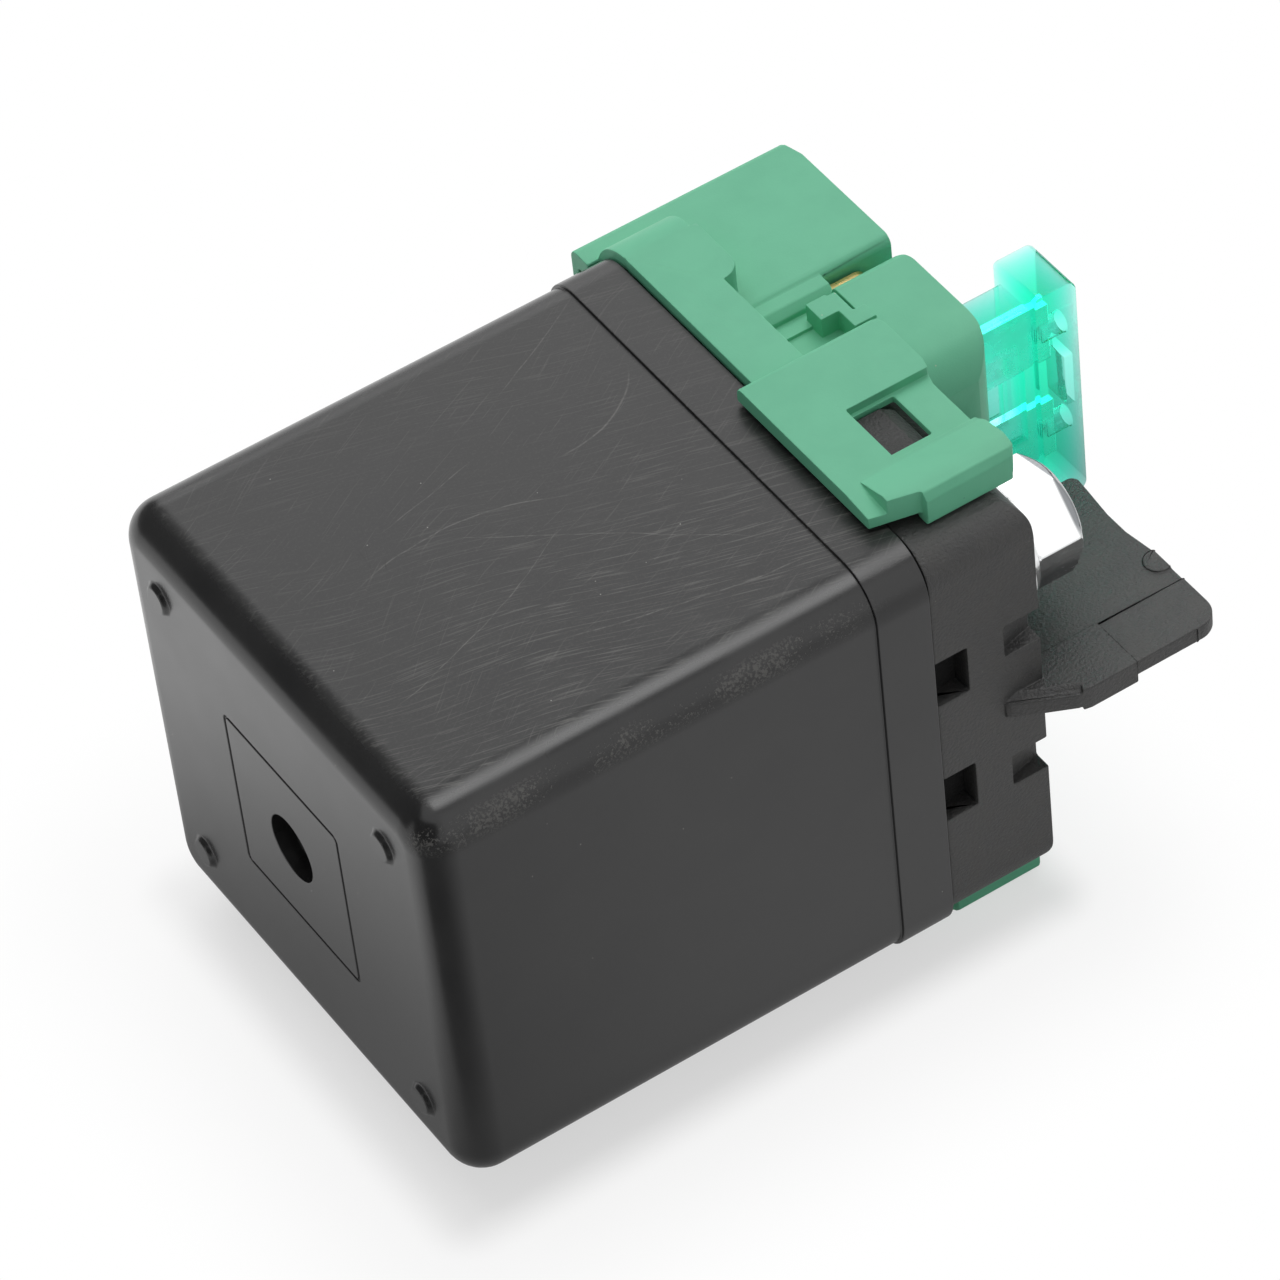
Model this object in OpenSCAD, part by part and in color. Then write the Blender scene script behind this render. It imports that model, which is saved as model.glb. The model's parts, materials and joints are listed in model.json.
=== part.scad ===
// Starter relay with a plug-in blade fuse, lying on its side with its terminals towards +X.
// X runs along the relay's axis, Y across it from front to back, and +Z is up.
// Each piece is laid out from the middle of the case's closed end, on the relay's axis.
// place() then puts the origin under the middle of the whole relay.

/* [Case] */
// Width of the case, from its front face to its back face
case_w = 40.4; // [39.6:0.2:42.4]
// Height of the case as it lies
case_h = 37.2; // [36.6:0.2:39.2]
// Length of the case from its closed end to its rim
case_len = 40.6; // [40.2:0.1:42]
// Radius of the case's four long edges
case_r = 3.4; // [3:0.1:4]
// Radius of the edge around the closed end
case_end_r = 2.8; // [1.6:0.1:2.9]
// Thickness of the side walls
case_wall = 1.8; // [1.4:0.1:2]
// Thickness of the closed end
case_floor = 2.6; // [2.2:0.1:3]
// Length of the raised band round the rim
rim_len = 4.3; // [3:0.1:6]
// How far the rim band stands proud
rim_proud = 0.25; // [0.1:0.05:0.4]
// Diameter of the four nubs on the closed end
nub_d = 2.7; // [2:0.1:3.4]
// Height of the nubs
nub_h = 0.4; // [0.2:0.1:0.8]
// Distance of each nub from the case's faces
nub_inset = 5.6; // [4.6:0.1:6.4]
// Diameter of the blind recess in the closed end
recess_d = 5.3; // [4.4:0.1:6.4]
// Depth of the blind recess
recess_depth = 1.8; // [1:0.1:1.9]
// Side of the square parting line round the recess
parting_side = 15; // [12:0.5:18]

/* [Terminal head] */
// Seam between the case's rim and the head
seam = 0.3; // [0.2:0.05:0.5]
// How far the head's faces lie inside the case's faces
head_inset = 0.3; // [0.2:0.05:0.5]
// Thickness of the head's flange, which carries the connector
flange_t = 3; // [2.6:0.1:3.4]
// Height of the terminal block above the flange
block_h = 5.8; // [5:0.1:6.6]
// Depth of the terminal block from the head's front face
block_d = 14.9; // [14:0.1:15.2]
// Radius of the terminal block's outer rim
block_r = 2.2; // [1:0.1:3]
// Wall of the spigot that enters the case
spigot_wall = 1.6; // [1.2:0.1:2]
// Depth of the spigot in the case
spigot_len = 5.3; // [4.6:0.1:5.6]
// Height by which the head's middle lies above the case's axis
head_rise = 0.4; // [0:0.1:0.6]
// Distance from the head's middle to the middle of each side window
window_offset = 5.8; // [5:0.1:6.4]
// Height of each side window
window_h = 4.2; // [3.4:0.1:4.8]
// Distance from the head's middle to the middle of each rim notch
notch_offset = 6.5; // [6:0.1:7.2]
// Height of each rim notch
notch_h = 2.9; // [2:0.1:3.4]
// Depth of the windows and notches
pocket_depth = 1.5; // [1:0.1:1.6]

/* [Insulating fin] */
// Thickness of the fin
fin_t = 1.4; // [1.2:0.1:2]
// Depth by which the fin's inner field lies below its front strip
fin_step = 0.15; // [0.1:0.05:0.3]
// Thickness of the pad at the fin's root
fin_pad_t = 2.1; // [2:0.1:2.6]
// Length of the fin beyond the terminal block
fin_len = 13.6; // [12:0.2:15]
// How far the fin stands out in front of the case
fin_out = 2.5; // [2:0.1:4]
// Radius of the fin's outer corners
fin_r = 1.8; // [1:0.1:2.4]

/* [Terminals] */
// Distance between the two terminals' axes
bolt_pitch = 17.8; // [17.4:0.1:18.4]
// Distance of the terminals' axes behind the head's front face
bolt_inset = 6.6; // [6.2:0.1:7]
// Diameter of the bolt's shank
bolt_d = 6; // [5:0.5:6]
// Width across the flats of the bolt's head
bolt_af = 8; // [7:1:8]
// Height of the bolt's head with its flange
bolt_head_h = 6; // [5:0.1:7]
// Diameter of the bolt's flange
bolt_flange_d = 10.4; // [10:0.1:11.4]
// Thickness of the bolt's flange at its edge
bolt_flange_t = 0.8; // [0.6:0.1:1.2]
// Turn of the bolt's hexagon about its axis
bolt_turn = 17; // [0:1:59]
// Length of the bolt's shank
bolt_len = 8; // [6:0.5:9]
// Diameter of the bored copper stud at each terminal
stud_d = 9; // [8.4:0.1:9.6]
// Thickness of the copper contact bars
bar_t = 1.6; // [1.2:0.1:2]
// Width of the copper contact bars
bar_w = 7.6; // [7:0.1:8]

/* [Coil and plunger] */
// Thickness of the yoke and the pole plate
yoke_t = 1.8; // [1.4:0.1:2.2]
// Clearance of the yoke's legs in the case
yoke_room = 1.6; // [0.8:0.1:2]
// Room between the yoke's legs and the case above and below them
leg_room = 5.8; // [5:0.1:7]
// Running gap between the rod's collar and the insulating plate
collar_room = 0.25; // [0.1:0.05:0.4]
// Diameter of the bobbin's bore
bobbin_bore = 10.6; // [10.4:0.1:11]
// Thickness of the bobbin's walls
bobbin_wall = 1; // [0.8:0.1:1.4]
// Clearance of the bobbin's flanges between the yoke's legs
bobbin_room = 0.5; // [0.2:0.1:1]
// Height of the bobbin's flanges above the wound coil
bobbin_lip = 1; // [0.5:0.1:2]
// Diameter of the winding wire as drawn
wire_d = 0.9; // [0.7:0.1:1.2]
// Diameter of the plunger
plunger_d = 10; // [9:0.1:10.2]
// Length of the fixed core inside the bobbin
core_len = 5; // [4.4:0.1:6]
// Travel of the plunger
stroke = 2.8; // [2:0.1:3]
// Gap between the open contacts
contact_gap = 2.05; // [1.8:0.05:2.4]
// Diameter of the plunger's rod
rod_d = 3; // [2.6:0.1:3.4]
// Diameter of the spring pockets in the plunger and the core
pocket_d = 6.6; // [6.4:0.1:7]
// Length of the moving contact
bridge_len = 19; // [17:0.5:20]
// Width of the moving contact
bridge_w = 7; // [6:0.2:8]
// Thickness of the moving contact
bridge_t = 1.4; // [1:0.1:1.6]

/* [Connector housing] */
// Wall thickness of the housing
wall = 1.4; // [1.1:0.1:1.6]
// Thickness of the housing's floor
floor_t = 1.5; // [1.2:0.1:1.8]
// Height of the socket and the fuse block
housing_h = 25.4; // [25:0.1:26]
// Distance of the housing's top below the case's top
housing_drop = 1.9; // [1.7:0.1:2.4]
// Length of the socket and the fuse block beyond the head's flange
housing_len = 14.5; // [14:0.1:16]
// Depth of the socket across the relay
socket_w = 13.4; // [13:0.1:14]
// How far the socket stands out behind the case
socket_out = 2.8; // [2.6:0.1:3.4]
// Gap between the terminal block and the fuse block
block_gap = 0.9; // [0.6:0.1:1.2]
// Gap between the socket and the fuse block
housing_gap = 1.4; // [1.3:0.1:1.8]
// Radius of the fuse block's front edges
fuse_block_r = 3.5; // [2:0.1:4]
// Thickness of the strap and the snap arms
arm_t = 1.3; // [1:0.1:1.5]
// Height of the snap arm's face above the case
arm_rise = 1.9; // [1.7:0.1:2.4]
// Distance of the snap arm behind the head's front face
arm_inset = 2.7; // [2.2:0.1:3.2]
// Length of the snap arm across the case
arm_len = 17.6; // [17:0.1:18.4]
// Width of the snap arm along the relay
arm_w = 11.8; // [11:0.1:12.4]

/* [Fuse and blades] */
// Width of the fuse's head
fuse_w = 20.8; // [20.4:0.1:21.2]
// Thickness of the fuse's head
fuse_t = 5.1; // [4.8:0.1:5.4]
// Height of the fuse from its blade tips to its head
fuse_len = 18.5; // [18:0.1:19]
// Height of the fuse's head
fuse_head = 3.6; // [3:0.1:4]
// How far the fuse stands out of its block
fuse_out = 9; // [8.6:0.1:9.2]
// Thickness of the fuse's body below its head
fuse_body_t = 3.8; // [3.4:0.1:4.2]
// Distance between the middles of the fuse's two blades
fuse_pitch = 9.4; // [9.2:0.1:9.8]
// Width of each fuse blade
fuse_blade_w = 5.2; // [5:0.1:5.4]
// Thickness of each fuse blade
fuse_blade_t = 0.65; // [0.6:0.05:0.7]
// Width of the connector's blades
blade_w = 6.3; // [4.8:0.1:6.4]
// Thickness of the connector's blades
blade_t = 0.8; // [0.6:0.1:1]
// Height of the connector's blades above the socket's floor
blade_len = 8.6; // [7:0.1:9]

/* [Fits] */
// Clearance round pieces that are slid together
fit = 0.1; // [0.05:0.05:0.2]
// Clearance of the spigot in the case
spigot_fit = 0.15; // [0.1:0.05:0.3]

/* [Hidden] */
$fn = 48;
eps = 0.1;

// Case and head, along the axis
cavity_w = case_w - 2 * case_wall;
cavity_h = case_h - 2 * case_wall;
cavity_r = case_r - case_wall;
front_y = -case_w / 2;
back_y = case_w / 2;
gasket_w = 0.8;
gasket_t = 1.4;
head_x = case_len + seam;
deck_x = head_x + flange_t;
face_x = deck_x + block_h;
head_w = case_w - 2 * head_inset;
head_h = case_h - 2 * head_inset;
head_r = case_r - head_inset;
head_front_y = -head_w / 2;
block_back_y = head_front_y + block_d;
spigot_x = head_x - spigot_len;
window_len = 2.7;
notch_len = 3;
window_depth = pocket_depth + 0.2;
notch_root = 0.7;
fin_line_y = head_front_y + 2.1;
fin_pad_len = 6.1;
fin_back_y = block_back_y + 0.4;
fin_back_r = 0.7;
fin_front_lead = 0.3;

// Coil, plunger and contacts, along the axis
yoke_w = cavity_w - 2 * yoke_room;
leg_w = cavity_h - 2 * leg_room;
pole_lip = 3;
plate_t = 1;
pad_t = 2.2;
bar_depth = 2.9;
bar_x = head_x - bar_depth;
ledge_x = bar_x + bar_t;
bridge_x = bar_x - contact_gap - bridge_t;
bush_flange_t = 0.6;
bush_flange_d = 8;
bush_wall = 0.8;
bush_d = rod_d + 2 * bush_wall;
washer_t = 0.5;
clip_t = 0.5;
clip_ring = 1.5;
clip_groove = 0.4;
clip_x = bridge_x + bridge_t + washer_t;
rod_tip = 1;
rod_end_x = clip_x + clip_t + rod_tip;
rod_room_x = rod_end_x + stroke + 0.6;
collar_d = 7;
collar_t = 0.8;
contact_spring_len = 3.1;
contact_spring_wire = 0.6;
collar_x = bridge_x - bush_flange_t - contact_spring_len;
plate_x = collar_x - collar_t - collar_room - plate_t;
pole_x = plate_x - yoke_t;
bobbin_x = case_floor + yoke_t;
bobbin_len = pole_x - bobbin_x;
bobbin_d = min(yoke_w - 2 * yoke_t - 2 * bobbin_room, cavity_h - 2 * yoke_room);
coil_d = bobbin_d - 2 * bobbin_lip;
core_gap = 0.2;
core_x = pole_x - core_len;
core_pocket = 2;
plunger_x = bobbin_x + pad_t + 2 * fit;
plunger_end_x = core_x - core_gap - stroke;
plunger_pocket = 4;
plunger_back = 4;
rod_start_x = plunger_x + plunger_back;
return_spring_wire = 0.5;
bolt_y = head_front_y + bolt_inset;
bolt_z = [head_rise + bolt_pitch / 2, head_rise - bolt_pitch / 2];
bar_inner = 4.2;

// Connector housing, across and along the relay
housing_top = case_h / 2 - housing_drop;
housing_z = [housing_top - housing_h, housing_top];
housing_mid_z = housing_top - housing_h / 2;
housing_x = [deck_x, deck_x + housing_len];
floor_x = deck_x + floor_t;
socket_y = [back_y + socket_out - socket_w, back_y + socket_out];
fuse_block_y = [block_back_y + block_gap, socket_y[0] - housing_gap];
channel_x = deck_x + 8.3;
channel_drop = 1.5;
strap_x = head_x - 0.1;
strap_top = case_h / 2 + 0.9;
strap_bottom = head_h / 2 + fit;
strap_narrow_x = strap_x + 4.4;
strap_wide_x = strap_x + 6.1;
strap_wide_y = socket_y[0] + 1.3;
strap_bend_y = head_w / 2 - head_r;
gap_web_x = deck_x + 8.5;
gap_web_drop = 0.25;
ledge_drop = 1.2;
ledge_w = 1.6;
curl_end_z = housing_top - 3.8;
mouth_corner = [0.6, 2.6];
arm_top = case_h / 2 + arm_rise;
arm_bottom = arm_top - arm_t;
arm_x = [case_len - 1.4, case_len - 1.4 + arm_w];
arm_y = [head_front_y + arm_inset, head_front_y + arm_inset + arm_len];
arm_rim_w = 5;
arm_rim_rise = 0.9;
arm_bead_x = arm_x[0] + 1.4;
arm_pocket_w = 6;
arm_rim_y = arm_y[0] + arm_rim_w;
arm_step_y = arm_rim_y + arm_pocket_w;
arm_window_x = [arm_x[0] + 4.7, arm_x[0] + 8.4];
arm_window_y = [arm_rim_y + 1.1, arm_step_y - 0.3];
hook_x = arm_x[0] + 3.8;
catch_top = arm_bottom + 0.3;

// Blades and fuse
blade_gap_y = 5.2;
blade_gap_z = 10.8;
socket_mid_y = (socket_y[0] + socket_y[1]) / 2;
tail_x = head_x + 1.5;
blade_y = [socket_mid_y - blade_gap_y / 2, socket_mid_y + blade_gap_y / 2];
blade_z = [housing_mid_z + blade_gap_z / 2, housing_mid_z - blade_gap_z / 2];
fuse_y = (fuse_block_y[0] + fuse_block_y[1]) / 2 + 0.4;
fuse_end_x = housing_x[1] + fuse_out;
fuse_head_x = fuse_end_x - fuse_head;
fuse_blade_x = fuse_end_x - fuse_len;
fuse_tips = 7;
fuse_body_x = fuse_blade_x + fuse_tips;
fuse_side = 1.7;
link_side = 0.25;
fuse_body_w = fuse_pitch + fuse_blade_w + 2 * fuse_side;
fuse_cap = 1.2;
fuse_panel_h = 6.8;
fuse_panel_depth = 0.8;
link_room = 2;
link_d = 6.2;
link_w = 0.9;
test_hole_d = 1.8;
test_hole_depth = 2;
fuse_z = [housing_mid_z + fuse_pitch / 2, housing_mid_z - fuse_pitch / 2];
clip_leaf = 0.5;
clip_mouth_x = fuse_body_x - 0.6;
bus_y = socket_y[0] - housing_gap / 2;
bus_drop = 1.2;
bus_top = housing_top - bus_drop;
bus_h = 11;
bus_lip = 2.6;
bus_tail_w = 6;
web_drop = 14;
bus_tail_z = bus_top - bus_tail_w / 2;
lead_d = 0.8;
lead_hole_d = 2.2;
lead_inset = 0.4;
lead_run = 4;
lead_y = blade_y[0];
lead_z = [leg_w / 2 - lead_inset, lead_inset - leg_w / 2];
lead_x = pole_x - lead_run;
lead_bend_x = bar_x - 0.6;

// Whole relay, and the shift that puts the origin under its middle
fin_edge_y = front_y - fin_out;
mid_x = (fuse_end_x - nub_h) / 2;
mid_y = (fin_edge_y + socket_y[1]) / 2;
rest_z = arm_top + arm_rim_rise;

module place() {
    translate([-mid_x, -mid_y, rest_z]) children();
}

// A block between two limits on each axis
module slab(x, y, z) {
    translate([x[0], y[0], z[0]]) cube([x[1] - x[0], y[1] - y[0], z[1] - z[0]]);
}

// An outline drawn in Y and Z, carried along X
module along_x(x) {
    translate([x[0], 0, 0]) rotate([90, 0, 90]) linear_extrude(x[1] - x[0]) children();
}

// An outline drawn in X and Z, carried along Y
module along_y(y) {
    translate([0, y[1], 0]) rotate([90, 0, 0]) linear_extrude(y[1] - y[0]) children();
}

// An outline drawn in X and Y, carried along Z
module along_z(z) {
    translate([0, 0, z[0]]) linear_extrude(z[1] - z[0]) children();
}

// A rod along X
module rod_x(x, d, y = 0, z = 0) {
    translate([x[0], y, z]) rotate([0, 90, 0]) cylinder(h = x[1] - x[0], d = d);
}

// A rectangle with its own radius at each corner: low-low, high-low, high-high, low-high
module corner_rect(a, b, r) {
    polygon([
        [a[0], b[0] + r[0]], [a[0] + r[0], b[0]], [a[1] - r[1], b[0]], [a[1], b[0] + r[1]],
        [a[1], b[1] - r[2]], [a[1] - r[2], b[1]], [a[0] + r[3], b[1]], [a[0], b[1] - r[3]]
    ]);
    translate([a[0] + r[0], b[0] + r[0]]) circle(r[0]);
    translate([a[1] - r[1], b[0] + r[1]]) circle(r[1]);
    translate([a[1] - r[2], b[1] - r[2]]) circle(r[2]);
    translate([a[0] + r[3], b[1] - r[3]]) circle(r[3]);
}

module round_rect(a, b, r) {
    corner_rect(a, b, [r, r, r, r]);
}

// A rectangle about the axis, w across by h high
module mid_rect(w, h, r) {
    round_rect([-w / 2, w / 2], [-h / 2, h / 2], r);
}

// Side view of a cup, closed and rounded at y = 0
module end_profile(w, len, r) {
    polygon([[-w / 2, len], [-w / 2, r], [r - w / 2, 0], [w / 2 - r, 0], [w / 2, r], [w / 2, len]]);
    for (side = [-1, 1]) translate([side * (w / 2 - r), r]) circle(r);
}

// Half of a post's side view, with its rounded foot
module post_profile(radius, len, r) {
    polygon([[0, 0], [radius - r, 0], [radius, r], [radius, len], [0, len]]);
    intersection() {
        translate([radius - r, r]) circle(r);
        square([radius, len]);
    }
}

// A cup's outer or inner form, closed at its low end, with rounded edges and round corners
module cup_form(w, h, x, corner, r) {
    len = x[1] - x[0];
    translate([x[0], 0, 0]) {
        rotate([0, 0, -90]) linear_extrude(h - 2 * corner, center = true) end_profile(w, len, r);
        rotate([90, 0, 0]) rotate([0, 0, -90])
            linear_extrude(w - 2 * corner, center = true) end_profile(h, len, r);
        for (side = [-1, 1], up = [-1, 1])
            translate([0, side * (w / 2 - corner), up * (h / 2 - corner)])
                rotate([0, 90, 0]) rotate_extrude() post_profile(corner, len, r);
    }
}

module case_cup() {
    stub_d = recess_d - 2.2;
    color("#26262a") place() difference() {
        union() {
            cup_form(case_w, case_h, [0, case_len], case_r, case_end_r);
            along_x([case_len - rim_len, case_len])
                mid_rect(case_w + 2 * rim_proud, case_h + 2 * rim_proud, case_r + rim_proud);
            for (side = [-1, 1], up = [-1, 1])
                translate([eps, side * (case_w / 2 - nub_inset), up * (case_h / 2 - nub_inset)])
                    rotate([0, -90, 0]) cylinder(h = nub_h + eps, d1 = nub_d + 0.2, d2 = nub_d - 0.6);
        }
        cup_form(cavity_w, cavity_h, [case_floor, case_len + 1], cavity_r, cavity_r - 0.4);
        along_x([case_len - gasket_t, case_len + 1])
            mid_rect(cavity_w + 2 * gasket_w, cavity_h + 2 * gasket_w, cavity_r + gasket_w);
        difference() {
            rod_x([-1, recess_depth], recess_d);
            rod_x([recess_depth - 0.7, recess_depth + 1], stub_d);
        }
        along_x([-1, 0.15]) difference() {
            mid_rect(parting_side, parting_side, 0.6);
            mid_rect(parting_side - 0.5, parting_side - 0.5, 0.4);
        }
    }
}

module head_gasket() {
    color("#3a3a3c") place() along_x([case_len - gasket_t, case_len]) difference() {
        mid_rect(cavity_w + 2 * gasket_w - fit, cavity_h + 2 * gasket_w - fit, cavity_r + gasket_w);
        mid_rect(cavity_w - 2 * spigot_fit + fit, cavity_h - 2 * spigot_fit + fit, cavity_r);
    }
}

// Plan of the fin: a hook that springs from the front face, a straight edge and round corners
module fin_outline() {
    tip_x = face_x - 3.4;
    nose_x = face_x + 1.1;
    end_x = face_x + fin_len;
    sag_x = end_x - 0.4;
    front = fin_edge_y + fin_front_lead;
    polygon([
        [tip_x, head_front_y - 0.1], [tip_x + 0.5, head_front_y - 0.6], [nose_x, fin_edge_y + 0.2],
        [nose_x + 1, fin_edge_y], [face_x + fin_pad_len, fin_edge_y], [face_x + fin_pad_len, front],
        [end_x - fin_r - 0.3, front], [end_x, front + fin_r], [end_x, head_front_y + 5.6],
        [sag_x, head_front_y + 8.4], [sag_x, head_front_y + 10.6], [end_x - 0.1, fin_back_y - 1.8],
        [end_x, fin_back_y - fin_back_r], [end_x - fin_back_r, fin_back_y],
        [face_x - 1, fin_back_y], [face_x - 1, head_front_y + 2], [tip_x, head_front_y + 2]
    ]);
    translate([end_x - fin_r, front + fin_r]) circle(fin_r);
    translate([end_x - fin_back_r, fin_back_y - fin_back_r]) circle(fin_back_r);
}

// The part of the fin's plan between the terminal face and a limit, in front of the mould line
module fin_front_outline(reach) {
    intersection() {
        fin_outline();
        translate([face_x - 4, fin_edge_y - 1]) square([reach + 4, fin_line_y - fin_edge_y + 1]);
    }
}

// The bevel along an edge of the hook's slanted front face
module fin_hook_bevel(up) {
    bevel = 1.1;
    run = [4, fin_edge_y - head_front_y + 0.8];
    translate([face_x - 2.9, head_front_y - 0.6, head_rise + up * fin_pad_t / 2])
        rotate([0, 0, atan2(run[1], run[0])]) rotate([45, 0, 0])
            translate([-1, -bevel / 2, -bevel / 2]) cube([norm(run) + 1.3, bevel, bevel]);
}

// The front strip with its raised root pad, the lower inner field and the round mark at the end
module fin() {
    field_t = fin_t - 2 * fin_step;
    mark_d = 2.2;
    along_z([head_rise - fin_t / 2, head_rise + fin_t / 2]) fin_front_outline(fin_len);
    along_z([head_rise - field_t / 2, head_rise + field_t / 2]) fin_outline();
    difference() {
        along_z([head_rise - fin_pad_t / 2, head_rise + fin_pad_t / 2]) fin_front_outline(fin_pad_len);
        for (up = [-1, 1]) fin_hook_bevel(up);
    }
    along_y([block_back_y - 1, fin_back_y])
        translate([face_x - 0.5, head_rise - fin_pad_t / 2]) square([4.2, fin_pad_t]);
    along_z([head_rise - fin_t / 2, head_rise + fin_t / 2]) intersection() {
        fin_outline();
        translate([face_x + fin_len - 0.4, head_front_y + 4.6]) circle(d = mark_d);
    }
}

// The side window that opens into the seam, and the notch that opens to the terminal face
module head_pockets(up) {
    window_z = head_rise + up * window_offset;
    notch_z = head_rise + up * notch_offset;
    slab([head_x - 1, head_x + window_len], [head_front_y - 1, head_front_y + window_depth],
        [window_z - window_h / 2, window_z + window_h / 2]);
    along_z([notch_z - notch_h / 2, notch_z + notch_h / 2]) polygon([
        [face_x - notch_len, head_front_y - 1], [face_x + 1, head_front_y - 1],
        [face_x + 1, head_front_y + window_depth], [face_x - notch_len, head_front_y + notch_root]
    ]);
}

// The catch that the snap arm's window closes over, with its lead-in ramp
module catch(up) {
    low = head_h / 2 - 0.5;
    ramp_x = arm_window_x[1] - fit;
    along_y([arm_window_y[0] + fit, arm_window_y[1] - fit]) polygon([
        [arm_window_x[0] + fit, up * low], [arm_window_x[0] + fit, up * catch_top],
        [ramp_x - 1.2, up * catch_top], [ramp_x, up * (catch_top - 0.8)], [ramp_x, up * low]
    ]);
}

module terminal_head() {
    color("#1e1e20") place() difference() {
        union() {
            along_x([head_x, deck_x]) mid_rect(head_w, head_h, head_r);
            intersection() {
                along_x([deck_x - 1, face_x]) mid_rect(head_w, head_h, head_r);
                along_y([head_front_y - 1, block_back_y])
                    corner_rect([head_x, face_x], [-head_h / 2, head_h / 2], [0.3, block_r, block_r, 0.3]);
            }
            along_x([spigot_x, head_x + eps])
                mid_rect(cavity_w - 2 * spigot_fit, cavity_h - 2 * spigot_fit, cavity_r);
            fin();
            for (up = [-1, 1]) catch(up);
        }
        along_x([spigot_x - 1, ledge_x]) mid_rect(cavity_w - 2 * spigot_fit - 2 * spigot_wall,
            cavity_h - 2 * spigot_fit - 2 * spigot_wall, 0.8);
        rod_x([ledge_x - 1, rod_room_x], collar_d + 1.4);
        for (z = bolt_z) rod_x([spigot_x - 1, face_x + 1], stud_d + fit, bolt_y, z);
        for (up = [-1, 1]) head_pockets(up);
        for (y = blade_y, z = blade_z) blade_slot(y, z, blade_w, blade_t);
        for (z = fuse_z) blade_slot(fuse_y, z, fuse_blade_w, blade_t);
        blade_slot(bus_y, bus_tail_z, bus_tail_w, blade_t);
        for (z = blade_z) rod_x([ledge_x - 1, tail_x + 1], lead_d + 0.6, lead_y, z);
    }
}

// A slot for the tail of a blade, through the housing's floor and into the head
module blade_slot(y, z, w, t) {
    slab([tail_x, floor_x + 1], [y - t / 2 - fit, y + t / 2 + fit], [z - w / 2 - fit, z + w / 2 + fit]);
}

// The bolt on the upper terminal; the lower one carries none
module terminal_bolt() {
    dome = 0.8;
    corner_d = bolt_af / cos(30);
    color("#d8dadc") place() translate([face_x, bolt_y, bolt_z[0]]) rotate([0, 90, 0]) {
        translate([0, 0, -bolt_len]) cylinder(h = bolt_len + eps, d = bolt_d);
        cylinder(h = bolt_flange_t, d = bolt_flange_d);
        translate([0, 0, bolt_flange_t - 0.01]) cylinder(h = 0.9, d1 = bolt_flange_d, d2 = bolt_af + 1.2);
        intersection() {
            rotate([0, 0, bolt_turn]) cylinder(h = bolt_head_h, d = corner_d, $fn = 6);
            translate([0, 0, -1]) cylinder(h = bolt_head_h - dome + 1, d = bolt_af + 4);
        }
        intersection() {
            rotate([0, 0, bolt_turn]) cylinder(h = bolt_head_h, d = corner_d, $fn = 6);
            translate([0, 0, bolt_head_h - dome - 0.01])
                cylinder(h = dome + 0.01, d1 = corner_d + 0.3, d2 = bolt_af - 0.9);
        }
    }
}

// A copper bar under the head's ledge, with the bored stud that takes the terminal bolt
module contact_bar(z, up) {
    inner = head_rise + up * bar_inner;
    outer = head_rise + up * (bar_inner + bar_w);
    end_y = spigot_wall + spigot_fit + fit - cavity_w / 2;
    color("#b87333") place() difference() {
        union() {
            along_x([bar_x, ledge_x]) round_rect([end_y, bridge_w / 2],
                [min(inner, outer), max(inner, outer)], 1);
            rod_x([bar_x, face_x], stud_d, bolt_y, z);
        }
        rod_x([bar_x - 1, face_x + 1], bolt_d + fit, bolt_y, z);
    }
}

module contact_bar_battery() {
    contact_bar(bolt_z[0], 1);
}

module contact_bar_motor() {
    contact_bar(bolt_z[1], -1);
}

module yoke() {
    tab_w = 8;
    color("#8f9396") place() {
        slab([case_floor, bobbin_x], [-yoke_w / 2, yoke_w / 2], [-leg_w / 2, leg_w / 2]);
        for (side = [-1, 1]) translate([0, side * (yoke_w - yoke_t) / 2, 0]) {
            slab([case_floor, pole_x], [-yoke_t / 2, yoke_t / 2], [-leg_w / 2, leg_w / 2]);
            slab([pole_x - 1, plate_x], [-yoke_t / 2, yoke_t / 2], [-tab_w / 2, tab_w / 2]);
        }
    }
}

module pole_plate() {
    tab_w = 8;
    plate_h = leg_w + 2 * pole_lip;
    color("#8f9396") place() difference() {
        along_x([pole_x, plate_x]) mid_rect(yoke_w, plate_h, 1.5);
        rod_x([pole_x - 1, plate_x + 1], plunger_d - 2 + 2 * fit);
        for (side = [-1, 1]) translate([0, side * (yoke_w - yoke_t) / 2, 0])
            slab([pole_x - 1, plate_x + 1], [-yoke_t / 2 - 2 * fit, yoke_t / 2 + 2 * fit],
                [-tab_w / 2 - fit, tab_w / 2 + fit]);
        for (z = lead_z) rod_x([pole_x - 1, plate_x + 1], lead_hole_d, lead_y, z);
    }
}

module bobbin() {
    tube_d = bobbin_bore + 2 * bobbin_wall;
    color("#d9d2bf") place() difference() {
        union() {
            rod_x([bobbin_x, pole_x], tube_d);
            rod_x([bobbin_x, bobbin_x + bobbin_wall], bobbin_d);
            rod_x([pole_x - bobbin_wall, pole_x], bobbin_d);
        }
        rod_x([bobbin_x - 1, pole_x + 1], bobbin_bore);
    }
}

// The winding, with its outermost layer of turns showing
module coil_winding() {
    inner_r = bobbin_bore / 2 + bobbin_wall + fit / 2;
    space = bobbin_len - 2 * bobbin_wall - fit;
    turns = floor(space / wire_d);
    pitch = space / turns;
    layer_r = coil_d / 2 - pitch / 2;
    color("#a5602a") place() translate([bobbin_x + bobbin_wall + fit / 2, 0, 0]) rotate([0, 90, 0])
        rotate_extrude() {
            translate([inner_r, 0]) square([layer_r - inner_r, space]);
            for (turn = [0 : turns - 1])
                translate([layer_r, (turn + 0.5) * pitch]) circle(pitch / 2, $fn = 16);
        }
}

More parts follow.
